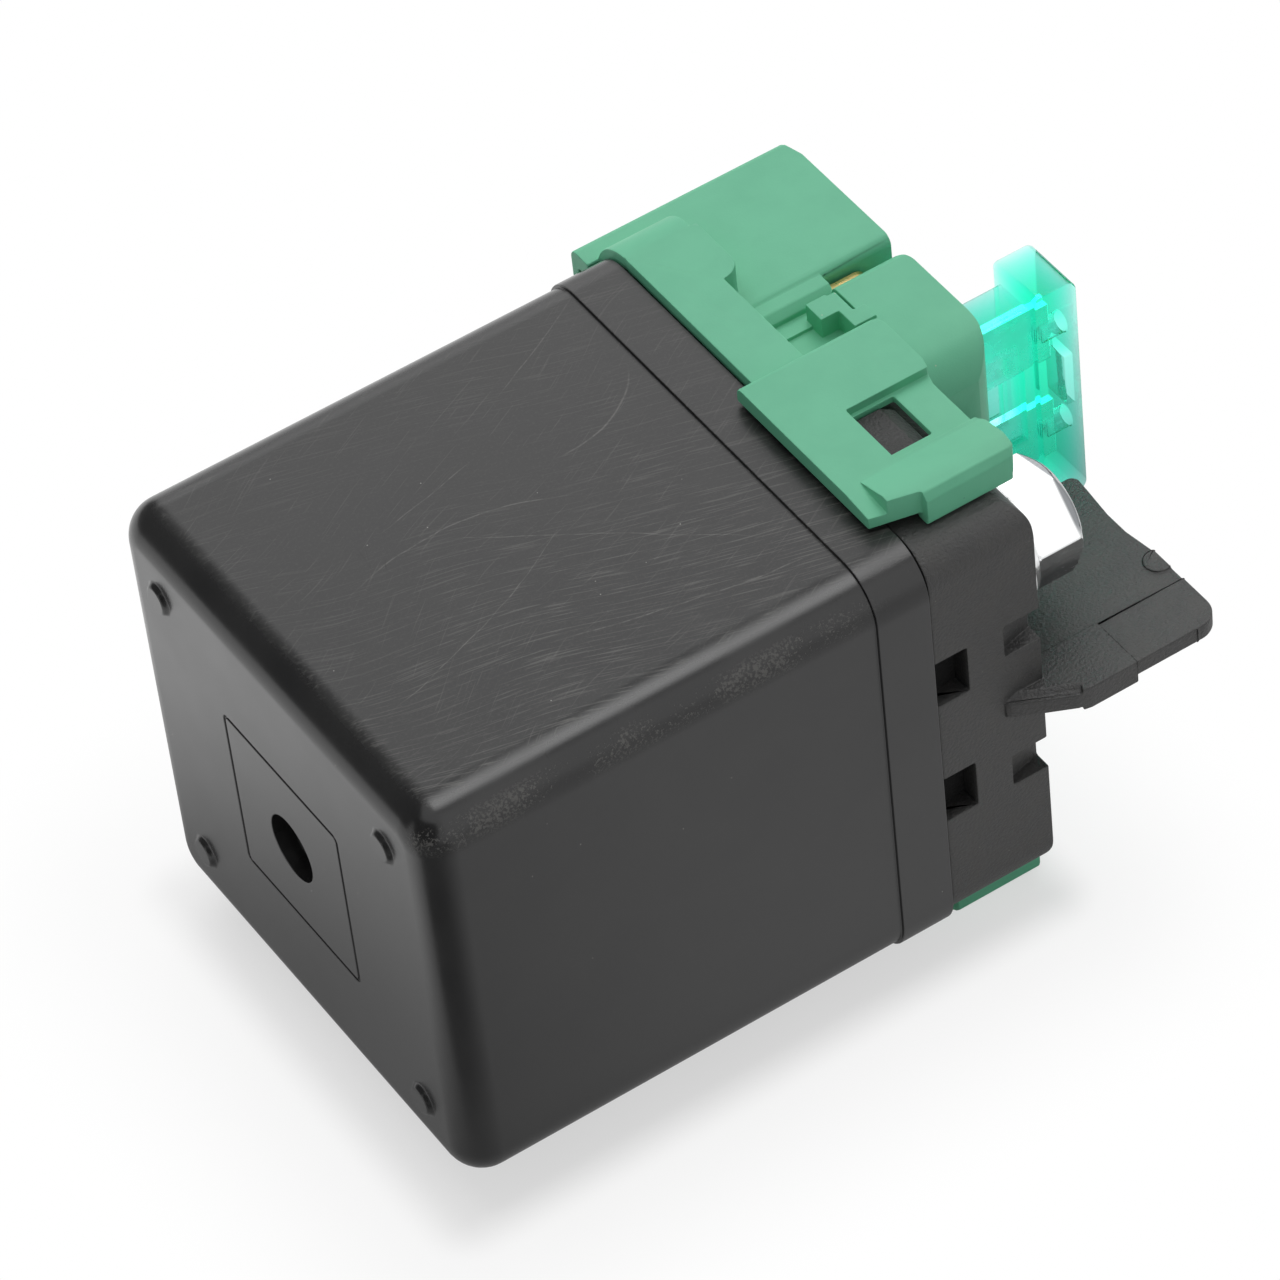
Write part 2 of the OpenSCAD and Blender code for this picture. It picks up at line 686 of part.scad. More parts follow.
// A round wire through a list of points
module wire(points, d) {
    for (i = [0 : len(points) - 2]) {
        step = points[i + 1] - points[i];
        run = max(norm(step), 0.01);
        translate(points[i]) {
            sphere(d = d + 0.04);
            rotate([0, acos(step[2] / run), atan2(step[1], step[0])]) cylinder(h = run, d = d);
        }
    }
    translate(points[len(points) - 1]) sphere(d = d + 0.04);
}

// The two ends of the winding, led past the pole plate and bent over to the front blades
module coil_leads() {
    color("#b87333") place() for (i = [0, 1]) {
        start = (coil_d / 2 + 0.5) / norm([lead_y, lead_z[i]]);
        wire([
            [lead_x, lead_y * start, lead_z[i] * start], [lead_x, lead_y, lead_z[i]],
            [lead_bend_x, lead_y, lead_z[i]], [lead_bend_x, lead_y, blade_z[i]],
            [tail_x - 0.5, lead_y, blade_z[i]]
        ], lead_d);
    }
}

module fixed_core() {
    color("#8f9396") place() difference() {
        union() {
            rod_x([core_x, pole_x], bobbin_bore - 2 * fit);
            rod_x([core_x, plate_x], plunger_d - 2);
        }
        rod_x([core_x - 1, plate_x + 1], rod_d + 0.4);
        rod_x([core_x - 1, core_x + core_pocket], pocket_d);
    }
}

module stop_pad() {
    color("#2c2c2c") place() rod_x([bobbin_x, bobbin_x + pad_t], bobbin_bore - 2 * fit);
}

module insulating_plate() {
    color("#7a4a2a") place() difference() {
        along_x([plate_x, plate_x + plate_t]) mid_rect(cavity_w - 1, cavity_h - 1, cavity_r);
        rod_x([plate_x - 1, plate_x + plate_t + 1], rod_d + 1);
        for (z = lead_z) rod_x([plate_x - 1, plate_x + plate_t + 1], lead_hole_d, lead_y, z);
    }
}

module plunger_core() {
    color("#9a9da0") place() difference() {
        rod_x([plunger_x, plunger_end_x], plunger_d);
        rod_x([rod_start_x, plunger_end_x + 1], rod_d + fit);
        rod_x([plunger_end_x - plunger_pocket, plunger_end_x + 1], pocket_d);
    }
}

module plunger_rod() {
    color("#c9ccce") place() difference() {
        union() {
            rod_x([rod_start_x, rod_end_x], rod_d);
            rod_x([collar_x - collar_t, collar_x], collar_d);
        }
        difference() {
            rod_x([clip_x - 0.02, clip_x + clip_t + 0.02], rod_d + 1);
            rod_x([clip_x - 1, clip_x + clip_t + 1], rod_d - 2 * clip_groove);
        }
    }
}

// An open ring that snaps into the rod's groove
module rod_clip() {
    ring_d = rod_d + 2 * clip_ring;
    color("#b9bcbe") place() difference() {
        rod_x([clip_x, clip_x + clip_t], ring_d);
        rod_x([clip_x - 1, clip_x + clip_t + 1], rod_d - 2 * clip_groove + fit);
        slab([clip_x - 1, clip_x + clip_t + 1], [0, ring_d], [-0.9, 0.9]);
    }
}

// A closed and ground compression spring along X, swept round its helix
module spring(x, d, wire_dia, turns) {
    sides = 8;
    per_turn = 16;
    steps = turns * per_turn;
    mean_r = (d - wire_dia) / 2;
    rise = x[1] - x[0] - wire_dia;
    function lift(t) = min(1, max(0, (t * turns - 0.75) / (turns - 1.5)));
    function ring(t) = [for (s = [0 : sides - 1])
        let (turn = t * turns * 360, a = s * 360 / sides, r = mean_r + wire_dia / 2 * cos(a))
        [x[0] + wire_dia / 2 + rise * lift(t) + wire_dia / 2 * sin(a), r * cos(turn), r * sin(turn)]];
    polyhedron(
        points = [for (i = [0 : steps]) each ring(i / steps)],
        faces = concat(
            [[for (s = [0 : sides - 1]) s]],
            [for (i = [0 : steps - 1], s = [0 : sides - 1])
                let (n = (s + 1) % sides, low = i * sides, high = low + sides)
                [low + s, high + s, high + n, low + n]],
            [[for (s = [sides - 1 : -1 : 0]) steps * sides + s]]
        )
    );
}

module return_spring() {
    color("#c4c7ca") place() spring([plunger_end_x - plunger_pocket, core_x + core_pocket],
        pocket_d - 6 * fit, return_spring_wire, 6);
}

module contact_spring() {
    color("#c4c7ca") place() spring([collar_x, bridge_x - bush_flange_t], collar_d - 4 * fit,
        contact_spring_wire, 2.5);
}

module moving_contact() {
    button_d = 4.6;
    button_z = (bridge_len - button_d) / 2 - 0.3;
    color("#b87333") place() difference() {
        union() {
            along_x([bridge_x, bridge_x + bridge_t - 0.2])
                mid_rect(bridge_w, bridge_len, 1.5);
            for (up = [-1, 1]) rod_x([bridge_x, bridge_x + bridge_t], button_d, 0, up * button_z);
        }
        rod_x([bridge_x - 1, bridge_x + bridge_t + 1], bush_d + fit);
    }
}

module insulating_bush() {
    color("#7a4a2a") place() difference() {
        union() {
            rod_x([bridge_x - bush_flange_t, bridge_x], bush_flange_d);
            rod_x([bridge_x - bush_flange_t, bridge_x + bridge_t], bush_d);
        }
        rod_x([bridge_x - 2, bridge_x + bridge_t + 1], rod_d + 2 * fit);
    }
}

module insulating_washer() {
    color("#7a4a2a") place() difference() {
        rod_x([bridge_x + bridge_t, clip_x], bush_flange_d - 1);
        rod_x([bridge_x, clip_x + 1], rod_d + 2 * fit);
    }
}

// One of the four contact blades, with its tail in the head and a bevelled tip
module blade(y, z) {
    tip = floor_x + blade_len;
    color("#c9a85a") place() {
        along_y([y - blade_t / 2, y + blade_t / 2]) polygon([
            [tail_x, z - blade_w / 2], [tip - 1, z - blade_w / 2], [tip, z - blade_w / 2 + 1],
            [tip, z + blade_w / 2 - 1], [tip - 1, z + blade_w / 2], [tail_x, z + blade_w / 2]
        ]);
    }
}

module blade_upper_front() {
    blade(blade_y[0], blade_z[0]);
}

module blade_upper_back() {
    blade(blade_y[1], blade_z[0]);
}

module blade_lower_front() {
    blade(blade_y[0], blade_z[1]);
}

module blade_lower_back() {
    blade(blade_y[1], blade_z[1]);
}

// A spring clip whose two leaves hold one fuse blade
module fuse_clip(z) {
    grip = fuse_blade_t / 2 + fit / 2;
    flare = 0.4;
    color("#c9a85a") place() {
        slab([tail_x, floor_x + 0.5], [fuse_y - blade_t / 2, fuse_y + blade_t / 2],
            [z - fuse_blade_w / 2, z + fuse_blade_w / 2]);
        slab([floor_x, floor_x + 1], [fuse_y - grip - clip_leaf, fuse_y + grip + clip_leaf],
            [z - fuse_blade_w / 2, z + fuse_blade_w / 2]);
        for (side = [-1, 1]) along_z([z - fuse_blade_w / 2, z + fuse_blade_w / 2]) polygon([
            [floor_x, fuse_y + side * grip], [clip_mouth_x - 1.2, fuse_y + side * grip],
            [clip_mouth_x, fuse_y + side * (grip + flare)],
            [clip_mouth_x, fuse_y + side * (grip + flare + clip_leaf)],
            [clip_mouth_x - 1.4, fuse_y + side * (grip + clip_leaf)],
            [floor_x, fuse_y + side * (grip + clip_leaf)]
        ]);
    }
}

module fuse_clip_upper() {
    fuse_clip(fuse_z[0]);
}

module fuse_clip_lower() {
    fuse_clip(fuse_z[1]);
}

// The brass strip that stands in the gap between the socket and the fuse block
module bus_strip() {
    color("#c9a85a") place() {
        slab([tail_x, floor_x + 0.5], [bus_y - blade_t / 2, bus_y + blade_t / 2],
            [bus_tail_z - bus_tail_w / 2, bus_tail_z + bus_tail_w / 2]);
        along_y([bus_y - blade_t / 2, bus_y + blade_t / 2])
            corner_rect([floor_x, housing_x[1] - bus_lip], [bus_top - bus_h, bus_top], [0.2, 1, 1, 0.2]);
    }
}

// The transparent fuse body: a wide head, a narrower waist with side panels, and its blade slots
module fuse_body() {
    head_z = [housing_mid_z - fuse_w / 2, housing_mid_z + fuse_w / 2];
    waist_z = [housing_mid_z - fuse_body_w / 2, housing_mid_z + fuse_body_w / 2];
    slot_w = fuse_blade_w + fit;
    slot_t = fuse_blade_t + fit;
    color("#3ccf9a") place() difference() {
        union() {
            along_x([fuse_body_x, fuse_head_x + eps])
                round_rect([fuse_y - fuse_body_t / 2, fuse_y + fuse_body_t / 2], waist_z, 0.5);
            along_y([fuse_y - fuse_t / 2, fuse_y + fuse_t / 2])
                corner_rect([fuse_head_x, fuse_end_x], head_z, [0.4, 0.9, 0.9, 0.4]);
        }
        for (z = fuse_z)
            slab([fuse_body_x - 1, fuse_end_x - fuse_cap], [fuse_y - slot_t / 2, fuse_y + slot_t / 2],
                [z - slot_w / 2, z + slot_w / 2]);
        slab([fuse_body_x + link_room, fuse_head_x - 0.4],
            [fuse_y - slot_t / 2 - link_side, fuse_y + slot_t / 2 + link_side], [fuse_z[1], fuse_z[0]]);
        for (side = [-1, 1]) translate([0, fuse_y + side * fuse_body_t / 2, 0])
            slab([housing_x[1] + 1, fuse_head_x - 0.8], [-fuse_panel_depth, fuse_panel_depth],
                [housing_mid_z - fuse_panel_h / 2, housing_mid_z + fuse_panel_h / 2]);
        for (z = fuse_z) rod_x([fuse_end_x - test_hole_depth, fuse_end_x + 1], test_hole_d, fuse_y, z);
        slab([fuse_end_x - 0.7, fuse_end_x + 1], [fuse_y - 1.4, fuse_y + 1.4],
            [housing_mid_z - 2.4, housing_mid_z + 2.4]);
    }
}

// Two blades joined by the thin link that melts
module fuse_element() {
    top_x = fuse_end_x - fuse_cap - fit;
    link_x = fuse_head_x - link_room;
    color("#c8c9c4") place() along_y([fuse_y - fuse_blade_t / 2, fuse_y + fuse_blade_t / 2]) {
        for (z = fuse_z) polygon([
            [fuse_blade_x, z - fuse_blade_w / 2 + 1], [fuse_blade_x + 1, z - fuse_blade_w / 2],
            [top_x, z - fuse_blade_w / 2], [top_x, z + fuse_blade_w / 2],
            [fuse_blade_x + 1, z + fuse_blade_w / 2], [fuse_blade_x, z + fuse_blade_w / 2 - 1]
        ]);
        difference() {
            translate([link_x, housing_mid_z]) circle(d = link_d);
            translate([link_x, housing_mid_z]) circle(d = link_d - 2 * link_w);
            translate([link_x, housing_mid_z - link_d]) square([link_d, 2 * link_d]);
        }
    }
}

// The socket: an open shroud whose back wall runs down outside the case
module socket() {
    inner_y = [socket_y[0] + wall, socket_y[1] - wall];
    inner_z = [housing_z[0] + wall, housing_z[1] - wall];
    skirt_x = case_len - 0.8;
    skirt_y = back_y + rim_proud + 0.2;
    difference() {
        union() {
            along_x([deck_x, housing_x[1]]) round_rect(socket_y, housing_z, 0.8);
            along_x([skirt_x, deck_x + 1])
                corner_rect([skirt_y, socket_y[1]], housing_z, [0.2, 0.8, 0.8, 0.2]);
        }
        along_x([floor_x, housing_x[1] + 1]) round_rect(inner_y, inner_z, 0.5);
        along_x([skirt_x - 1, deck_x])
            round_rect([skirt_y + 0.5, socket_y[1] - 0.9], [inner_z[0], inner_z[1]], 0.3);
        slab([housing_x[1] - 6, housing_x[1] + 1], [socket_y[1] - wall - 1, socket_y[1] + 1],
            [housing_mid_z - 3, housing_mid_z + 3]);
        along_z([housing_z[0] - 1, housing_z[1] + 1]) polygon([
            [housing_x[1] - mouth_corner[0], socket_y[1] + eps], [housing_x[1] + eps, socket_y[1] + eps],
            [housing_x[1] + eps, socket_y[1] - mouth_corner[1]]
        ]);
    }
    for (z = [housing_mid_z - 6.5, housing_mid_z + 6.5])
        slab([floor_x - 1, housing_x[1] - 2.5], [socket_y[0] + wall - eps, socket_y[0] + wall + 0.6],
            [z - 0.4, z + 0.4]);
}

// The fuse block, with its round front edges, its mouth and its two clip wells
module fuse_block() {
    mouth_z = [housing_mid_z - fuse_body_w / 2 - 0.3, housing_mid_z + fuse_body_w / 2 + 0.3];
    mouth_t = fuse_body_t + 0.6;
    well_t = 4.2;
    difference() {
        intersection() {
            along_x([deck_x, housing_x[1]])
                corner_rect(fuse_block_y, housing_z, [fuse_block_r, 0.8, 0.8, fuse_block_r + 1]);
            along_z([housing_z[0] - 1, housing_z[1] + 1])
                corner_rect([deck_x, housing_x[1]], fuse_block_y, [0.3, fuse_block_r, 1.5, 0.3]);
        }
        slab([deck_x - 1, channel_x], [arm_y[1] + 0.2, fuse_block_y[1] + 1],
            [housing_top - channel_drop, housing_top + 1]);
        slab([clip_mouth_x - 0.2, housing_x[1] + 1], [fuse_y - mouth_t / 2, fuse_y + mouth_t / 2], mouth_z);
        for (z = fuse_z)
            slab([floor_x, clip_mouth_x], [fuse_y - well_t / 2, fuse_y + well_t / 2],
                [z - fuse_blade_w / 2 - 0.3, z + fuse_blade_w / 2 + 0.3]);
    }
}

// A snap arm and its strap, on the top of the head or mirrored under it
module snap_arm() {
    pocket_z = arm_top - 0.7;
    hook_bottom = head_h / 2 + fit;
    difference() {
        intersection() {
            union() {
                along_x(arm_x) arm_section();
                along_x([arm_bead_x, arm_x[1]]) bead_section();
            }
            along_z([arm_bottom - 1, arm_top + arm_rim_rise + 1]) arm_outline();
        }
        slab([arm_window_x[0], arm_x[1] + 1], [arm_rim_y, arm_step_y], [pocket_z, arm_top + 1]);
        slab(arm_window_x, arm_window_y, [arm_bottom - 1, arm_top + 1]);
    }
    along_x([hook_x, arm_x[1] - 0.9]) corner_rect([arm_y[0], arm_y[0] + 1.3],
        [hook_bottom, arm_top - 0.5], [0.4, 0.2, 0.2, 0.2]);
    along_z([strap_bottom, strap_top])
        corner_rect([strap_x, strap_narrow_x], [arm_y[1] - 1.5, strap_wide_y + 2], [0.2, 0.2, 0.2, 0.2]);
    along_z([strap_bottom, strap_top]) strap_wide_plan(strap_x);
    strap_curl([strap_x, deck_x + 0.02], head_r + fit, curl_end_z);
    strap_curl([deck_x + 0.01, strap_wide_x - 0.5], eps, housing_top - wall + fit);
}

// Plan of the strap's wide part, with a round front corner
module strap_wide_plan(start_x) {
    corner_rect([start_x, strap_wide_x], [strap_wide_y, strap_bend_y + eps], [0.2, 1.6, 0.5, 0.2]);
}

// The strap's back end, bent down round the head's corner between two limits along the relay
module strap_curl(x, inner_r, end_z) {
    outer_r = strap_top - head_h / 2 + head_r;
    along_x(x) translate([strap_bend_y, head_h / 2 - head_r]) difference() {
        union() {
            circle(outer_r);
            translate([0, -outer_r]) square([outer_r, outer_r]);
        }
        circle(inner_r);
        translate([-1, -outer_r - 1]) square([inner_r + 1, outer_r + 1]);
        translate([-outer_r - 1, -outer_r - 1]) square([outer_r + 1, 2 * outer_r + 2]);
        translate([-1, end_z - head_h / 2 + head_r - outer_r - 9]) square([outer_r + 2, outer_r + 9]);
    }
}

// Plan of the snap arm, with round corners at its back and a front edge set back beside the hook
module arm_outline() {
    back_r = 1.2;
    polygon([
        [arm_x[0], arm_y[0] + 1.6], [hook_x, arm_y[0] + 0.7], [hook_x, arm_y[0]],
        [arm_x[1] - 0.9, arm_y[0]], [arm_x[1] - 0.4, arm_y[0] + 0.7], [arm_x[1] - 0.2, arm_rim_y - 1],
        [arm_x[1] - 0.5, arm_rim_y], [arm_x[1] - 0.5, arm_step_y - 1], [arm_x[1], arm_step_y + 1],
        [arm_x[1], arm_y[1] - back_r], [arm_x[1] - back_r, arm_y[1]], [arm_x[0], arm_y[1]]
    ]);
    translate([arm_x[1] - back_r, arm_y[1] - back_r]) circle(back_r);
}

// Section of the snap arm across the case: a plate that slopes down to its front edge
module arm_section() {
    back_r = 0.6;
    polygon([
        [arm_y[0], arm_bottom], [arm_y[0], arm_bottom + 0.6], [arm_y[0] + 0.8, arm_bottom + 0.9],
        [arm_rim_y - 0.8, arm_top], [arm_y[1] - back_r, arm_top], [arm_y[1], arm_top - back_r],
        [arm_y[1], arm_bottom]
    ]);
    translate([arm_y[1] - back_r, arm_top - back_r]) circle(back_r);
}

// Section of the raised bead along the arm's front edge
module bead_section() {
    bead_top = arm_top + arm_rim_rise;
    polygon([
        [arm_y[0], arm_bottom], [arm_y[0], arm_top + 0.2], [arm_y[0] + 0.5, bead_top - 0.15],
        [arm_y[0] + 1.8, bead_top], [arm_rim_y - 0.6, arm_top + 0.15],
        [arm_rim_y - 0.1, arm_top - 0.1], [arm_rim_y - 0.1, arm_bottom]
    ]);
}

// The small hooked tongue in the channel beside the fuse block, and the ledge behind it
module latch_tongue() {
    foot_z = housing_top - channel_drop;
    top_z = housing_top + 0.3;
    tip_x = channel_x - 2.7;
    neck_x = channel_x - 1.2;
    back = fuse_block_y[1] - 0.8;
    slab([deck_x + 0.01, channel_x + eps], [fuse_block_y[1] - ledge_w, fuse_block_y[1]],
        [foot_z - eps, housing_top - ledge_drop]);
    slab([tip_x, neck_x + 0.2], [back - 2, back], [foot_z - eps, top_z]);
    slab([neck_x, channel_x - 0.3], [back - 4, back - 0.2], [foot_z - eps, top_z]);
    slab([channel_x - 0.4, channel_x + 0.7], [back - 4, back - 2.5], [foot_z - eps, top_z]);
}

// The web over the gap between the fuse block and the socket, above the bus strip
module gap_web() {
    edge_y = fuse_block_y[1];
    web_top = housing_top - gap_web_drop;
    along_x([deck_x, gap_web_x]) polygon([
        [edge_y - 0.2, bus_top - 0.2], [edge_y + 0.2, bus_top - 0.2], [edge_y + 0.2, bus_top + fit],
        [socket_y[0] + 0.9, bus_top + fit], [socket_y[0] + 0.9, web_top], [edge_y + 0.5, web_top],
        [edge_y - 0.2, bus_top + 0.4]
    ]);
}

module connector_housing() {
    color("#4fb486") place() difference() {
        union() {
            along_x([deck_x, floor_x])
                corner_rect([fuse_block_y[0], back_y - head_inset], [-head_h / 2, head_h / 2],
                    [0.4, head_r, head_r, 0.4]);
            socket();
            fuse_block();
            slab([deck_x, floor_x + 5], [fuse_block_y[1] - 1, socket_y[0] + 1],
                [housing_z[0], housing_top - web_drop]);
            gap_web();
            latch_tongue();
            snap_arm();
            mirror([0, 0, 1]) snap_arm();
            strap_webs();
        }
        for (y = blade_y, z = blade_z) blade_slot(y, z, blade_w, blade_t);
        for (z = fuse_z) blade_slot(fuse_y, z, fuse_blade_w, blade_t);
        blade_slot(bus_y, bus_tail_z, bus_tail_w, blade_t);
    }
}

// The webs that join the straps to the floor, the socket and the fuse block
module strap_webs() {
    for (up = [-1, 1]) {
        low = up > 0 ? head_h / 2 - 3 : -strap_top;
        high = up > 0 ? strap_top : 3 - head_h / 2;
        slab([deck_x + 0.01, strap_narrow_x], [arm_y[1] - 1.5, back_y - head_r - 0.5],
            [low, high]);
        along_z([low, high]) strap_wide_plan(deck_x + 0.01);
    }
}

case_cup();
terminal_head();
head_gasket();
connector_housing();
terminal_bolt();
contact_bar_battery();
contact_bar_motor();
yoke();
bobbin();
coil_winding();
coil_leads();
pole_plate();
fixed_core();
stop_pad();
insulating_plate();
plunger_core();
plunger_rod();
rod_clip();
return_spring();
contact_spring();
moving_contact();
insulating_bush();
insulating_washer();
blade_upper_front();
blade_upper_back();
blade_lower_front();
blade_lower_back();
fuse_clip_upper();
fuse_clip_lower();
bus_strip();
fuse_body();
fuse_element();
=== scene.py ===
# Studio picture of a starter relay that lies on its side on a white floor.
# Lengths in the comments and in the values that end in _mm are millimetres; Blender's own are metres.
import json
import math

import bpy
from mathutils import Matrix, Vector


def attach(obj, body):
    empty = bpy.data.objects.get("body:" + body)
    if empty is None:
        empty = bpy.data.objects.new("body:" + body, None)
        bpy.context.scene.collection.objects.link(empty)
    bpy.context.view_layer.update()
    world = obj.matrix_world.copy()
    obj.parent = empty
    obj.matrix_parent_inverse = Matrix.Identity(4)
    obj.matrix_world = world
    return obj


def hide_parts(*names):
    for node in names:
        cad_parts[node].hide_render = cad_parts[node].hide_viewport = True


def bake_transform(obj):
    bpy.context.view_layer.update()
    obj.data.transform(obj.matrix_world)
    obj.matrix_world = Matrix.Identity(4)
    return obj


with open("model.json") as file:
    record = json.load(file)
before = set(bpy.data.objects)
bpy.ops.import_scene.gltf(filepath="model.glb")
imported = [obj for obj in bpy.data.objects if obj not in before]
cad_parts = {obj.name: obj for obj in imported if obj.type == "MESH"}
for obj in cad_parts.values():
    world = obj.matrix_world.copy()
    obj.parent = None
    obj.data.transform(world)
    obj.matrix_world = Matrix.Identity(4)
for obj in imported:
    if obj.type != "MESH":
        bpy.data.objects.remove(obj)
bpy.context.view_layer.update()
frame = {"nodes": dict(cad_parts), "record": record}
MM = 0.001

# The relay is laid out from the middle of the case's closed end, on its axis: x towards the terminals,
# y to the back, z up. at() turns such a place into the frame's metres.
CASE_ORIGIN = Vector((-33.5, -0.15, 21.4))


def at(x, y, z):
    return (Vector((x, y, z)) + CASE_ORIGIN) * MM


def at_x(x):
    return at(x, 0, 0).x


def at_y(y):
    return at(0, y, 0).y


def at_z(z):
    return at(0, 0, z).z


# Height of the case's top face over its axis
CASE_TOP = 18.6

# Faces within this of one plane are joined; sharper edges get a radius; blunter ones are shaded as one face
ONE_PLANE = math.radians(0.4)
SHARP_EDGE = math.radians(32)
SMOOTH_UP_TO = math.radians(38)
SMOOTH_WIRE_UP_TO = math.radians(50)
DOUBLE_POINTS_MM = 0.002
ROUNDING_SEGMENTS = 2


# ---------------------------------------------------------------- working with Blender's tools

def only(piece):
    bpy.ops.object.select_all(action="DESELECT")
    piece.select_set(True)
    bpy.context.view_layer.objects.active = piece


def apply_modifiers(piece):
    only(piece)
    for modifier in list(piece.modifiers):
        bpy.ops.object.modifier_apply(modifier=modifier.name)


def settle(piece):
    only(piece)
    bpy.ops.object.transform_apply(location=True, rotation=True, scale=True)


def merged_copy(node, name, merge_mm=DOUBLE_POINTS_MM):
    """A copy of a CAD node with its doubled points merged and its flat faces joined."""
    piece = bpy.data.objects.new(name, frame["nodes"][node].data.copy())
    bpy.context.scene.collection.objects.link(piece)
    only(piece)
    bpy.ops.mesh.customdata_custom_splitnormals_clear()
    bpy.ops.object.mode_set(mode="EDIT")
    bpy.ops.mesh.select_all(action="SELECT")
    bpy.ops.mesh.remove_doubles(threshold=merge_mm * MM)
    bpy.ops.mesh.dissolve_degenerate(threshold=merge_mm * MM)
    bpy.ops.mesh.dissolve_limited(angle_limit=ONE_PLANE)
    bpy.ops.object.mode_set(mode="OBJECT")
    return piece


def rounded_copy(node, name, edge_mm, merge_mm):
    """A merged copy whose sharp edges get the small radius of a moulded or pressed piece."""
    piece = merged_copy(node, name, merge_mm)
    rounding = piece.modifiers.new("edge_radius", "BEVEL")
    rounding.width = edge_mm * MM
    rounding.segments = ROUNDING_SEGMENTS
    rounding.limit_method = "ANGLE"
    rounding.angle_limit = SHARP_EDGE
    rounding.use_clamp_overlap = False
    rounding.miter_outer = "MITER_ARC"
    apply_modifiers(piece)
    bpy.ops.object.shade_smooth_by_angle(angle=SMOOTH_UP_TO)
    even = piece.modifiers.new("flat_faces_stay_flat", "WEIGHTED_NORMAL")
    even.keep_sharp = True
    even.weight = 100
    apply_modifiers(piece)
    return piece


# ---------------------------------------------------------------- shader helpers

def add(tree, kind, inputs=None, **settings):
    made = tree.nodes.new(kind)
    for key, value in settings.items():
        setattr(made, key, value)
    for key, value in (inputs or {}).items():
        if isinstance(value, bpy.types.NodeSocket):
            tree.links.new(value, made.inputs[key])
        else:
            made.inputs[key].default_value = value
    return made


def calc(tree, operation, a, b=0.0, c=0.0):
    return add(tree, "ShaderNodeMath", {0: a, 1: b, 2: c}, operation=operation).outputs[0]


def cloudy(tree, where, per_mm, detail=2.0, roughness=0.5):
    """Noise of that many waves to a millimetre, from 0 to 1; per_mm may be a socket."""
    if isinstance(per_mm, bpy.types.NodeSocket):
        per_metre = calc(tree, "MULTIPLY", per_mm, 1000)
    else:
        per_metre = per_mm * 1000
    made = add(tree, "ShaderNodeTexNoise", {"Vector": where, "Scale": per_metre, "Detail": detail,
                                            "Roughness": roughness})
    return made.outputs["Fac"]


def ramp(tree, value, low, high):
    """0 below low, 1 above high, smooth between; low may be the larger."""
    made = add(tree, "ShaderNodeMapRange", {"Value": value, "From Min": low, "From Max": high},
               interpolation_type="SMOOTHSTEP")
    return made.outputs["Result"]


def blend_colour(tree, factor, a, b):
    """Colour a where the factor is 0, and b where it is 1."""
    made = add(tree, "ShaderNodeMix", data_type="RGBA")
    for index, value in ((0, factor), (6, a), (7, b)):
        if isinstance(value, bpy.types.NodeSocket):
            tree.links.new(value, made.inputs[index])
        else:
            made.inputs[index].default_value = value
    return made.outputs[2]


def new_group(name, places, numbers, outputs):
    """A node group with its Group Input and Group Output; use() sets its places and numbers."""
    group = bpy.data.node_groups.new(name, "ShaderNodeTree")
    for label in places:
        group.interface.new_socket(label, in_out="INPUT", socket_type="NodeSocketVector")
    for label in numbers:
        group.interface.new_socket(label, in_out="INPUT", socket_type="NodeSocketFloat")
    for label in outputs:
        group.interface.new_socket(label, in_out="OUTPUT", socket_type="NodeSocketFloat")
    return group, group.nodes.new("NodeGroupInput"), group.nodes.new("NodeGroupOutput")


def make_grain():
    """Fine even skin of a spark-eroded mould."""
    group, given, out = new_group("mould_grain", ["Vector"], ["Grains per mm", "Mottle per mm"],
                                  ["Height", "Mottle"])
    where = given.outputs["Vector"]
    grain = cloudy(group, where, given.outputs["Grains per mm"], 3.0, 0.65)
    mottle = cloudy(group, where, given.outputs["Mottle per mm"], 3.0, 0.6)
    group.links.new(grain, out.inputs["Height"])
    group.links.new(ramp(group, mottle, 0.3, 0.7), out.inputs["Mottle"])
    return group


def share_of(tree, noise, share, none, gain, soft):
    """1 where the noise is over a level that falls from none by gain times share, over a soft step."""
    level = calc(tree, "SUBTRACT", none, calc(tree, "MULTIPLY", share, gain))
    return ramp(tree, noise, level, calc(tree, "ADD", level, soft))


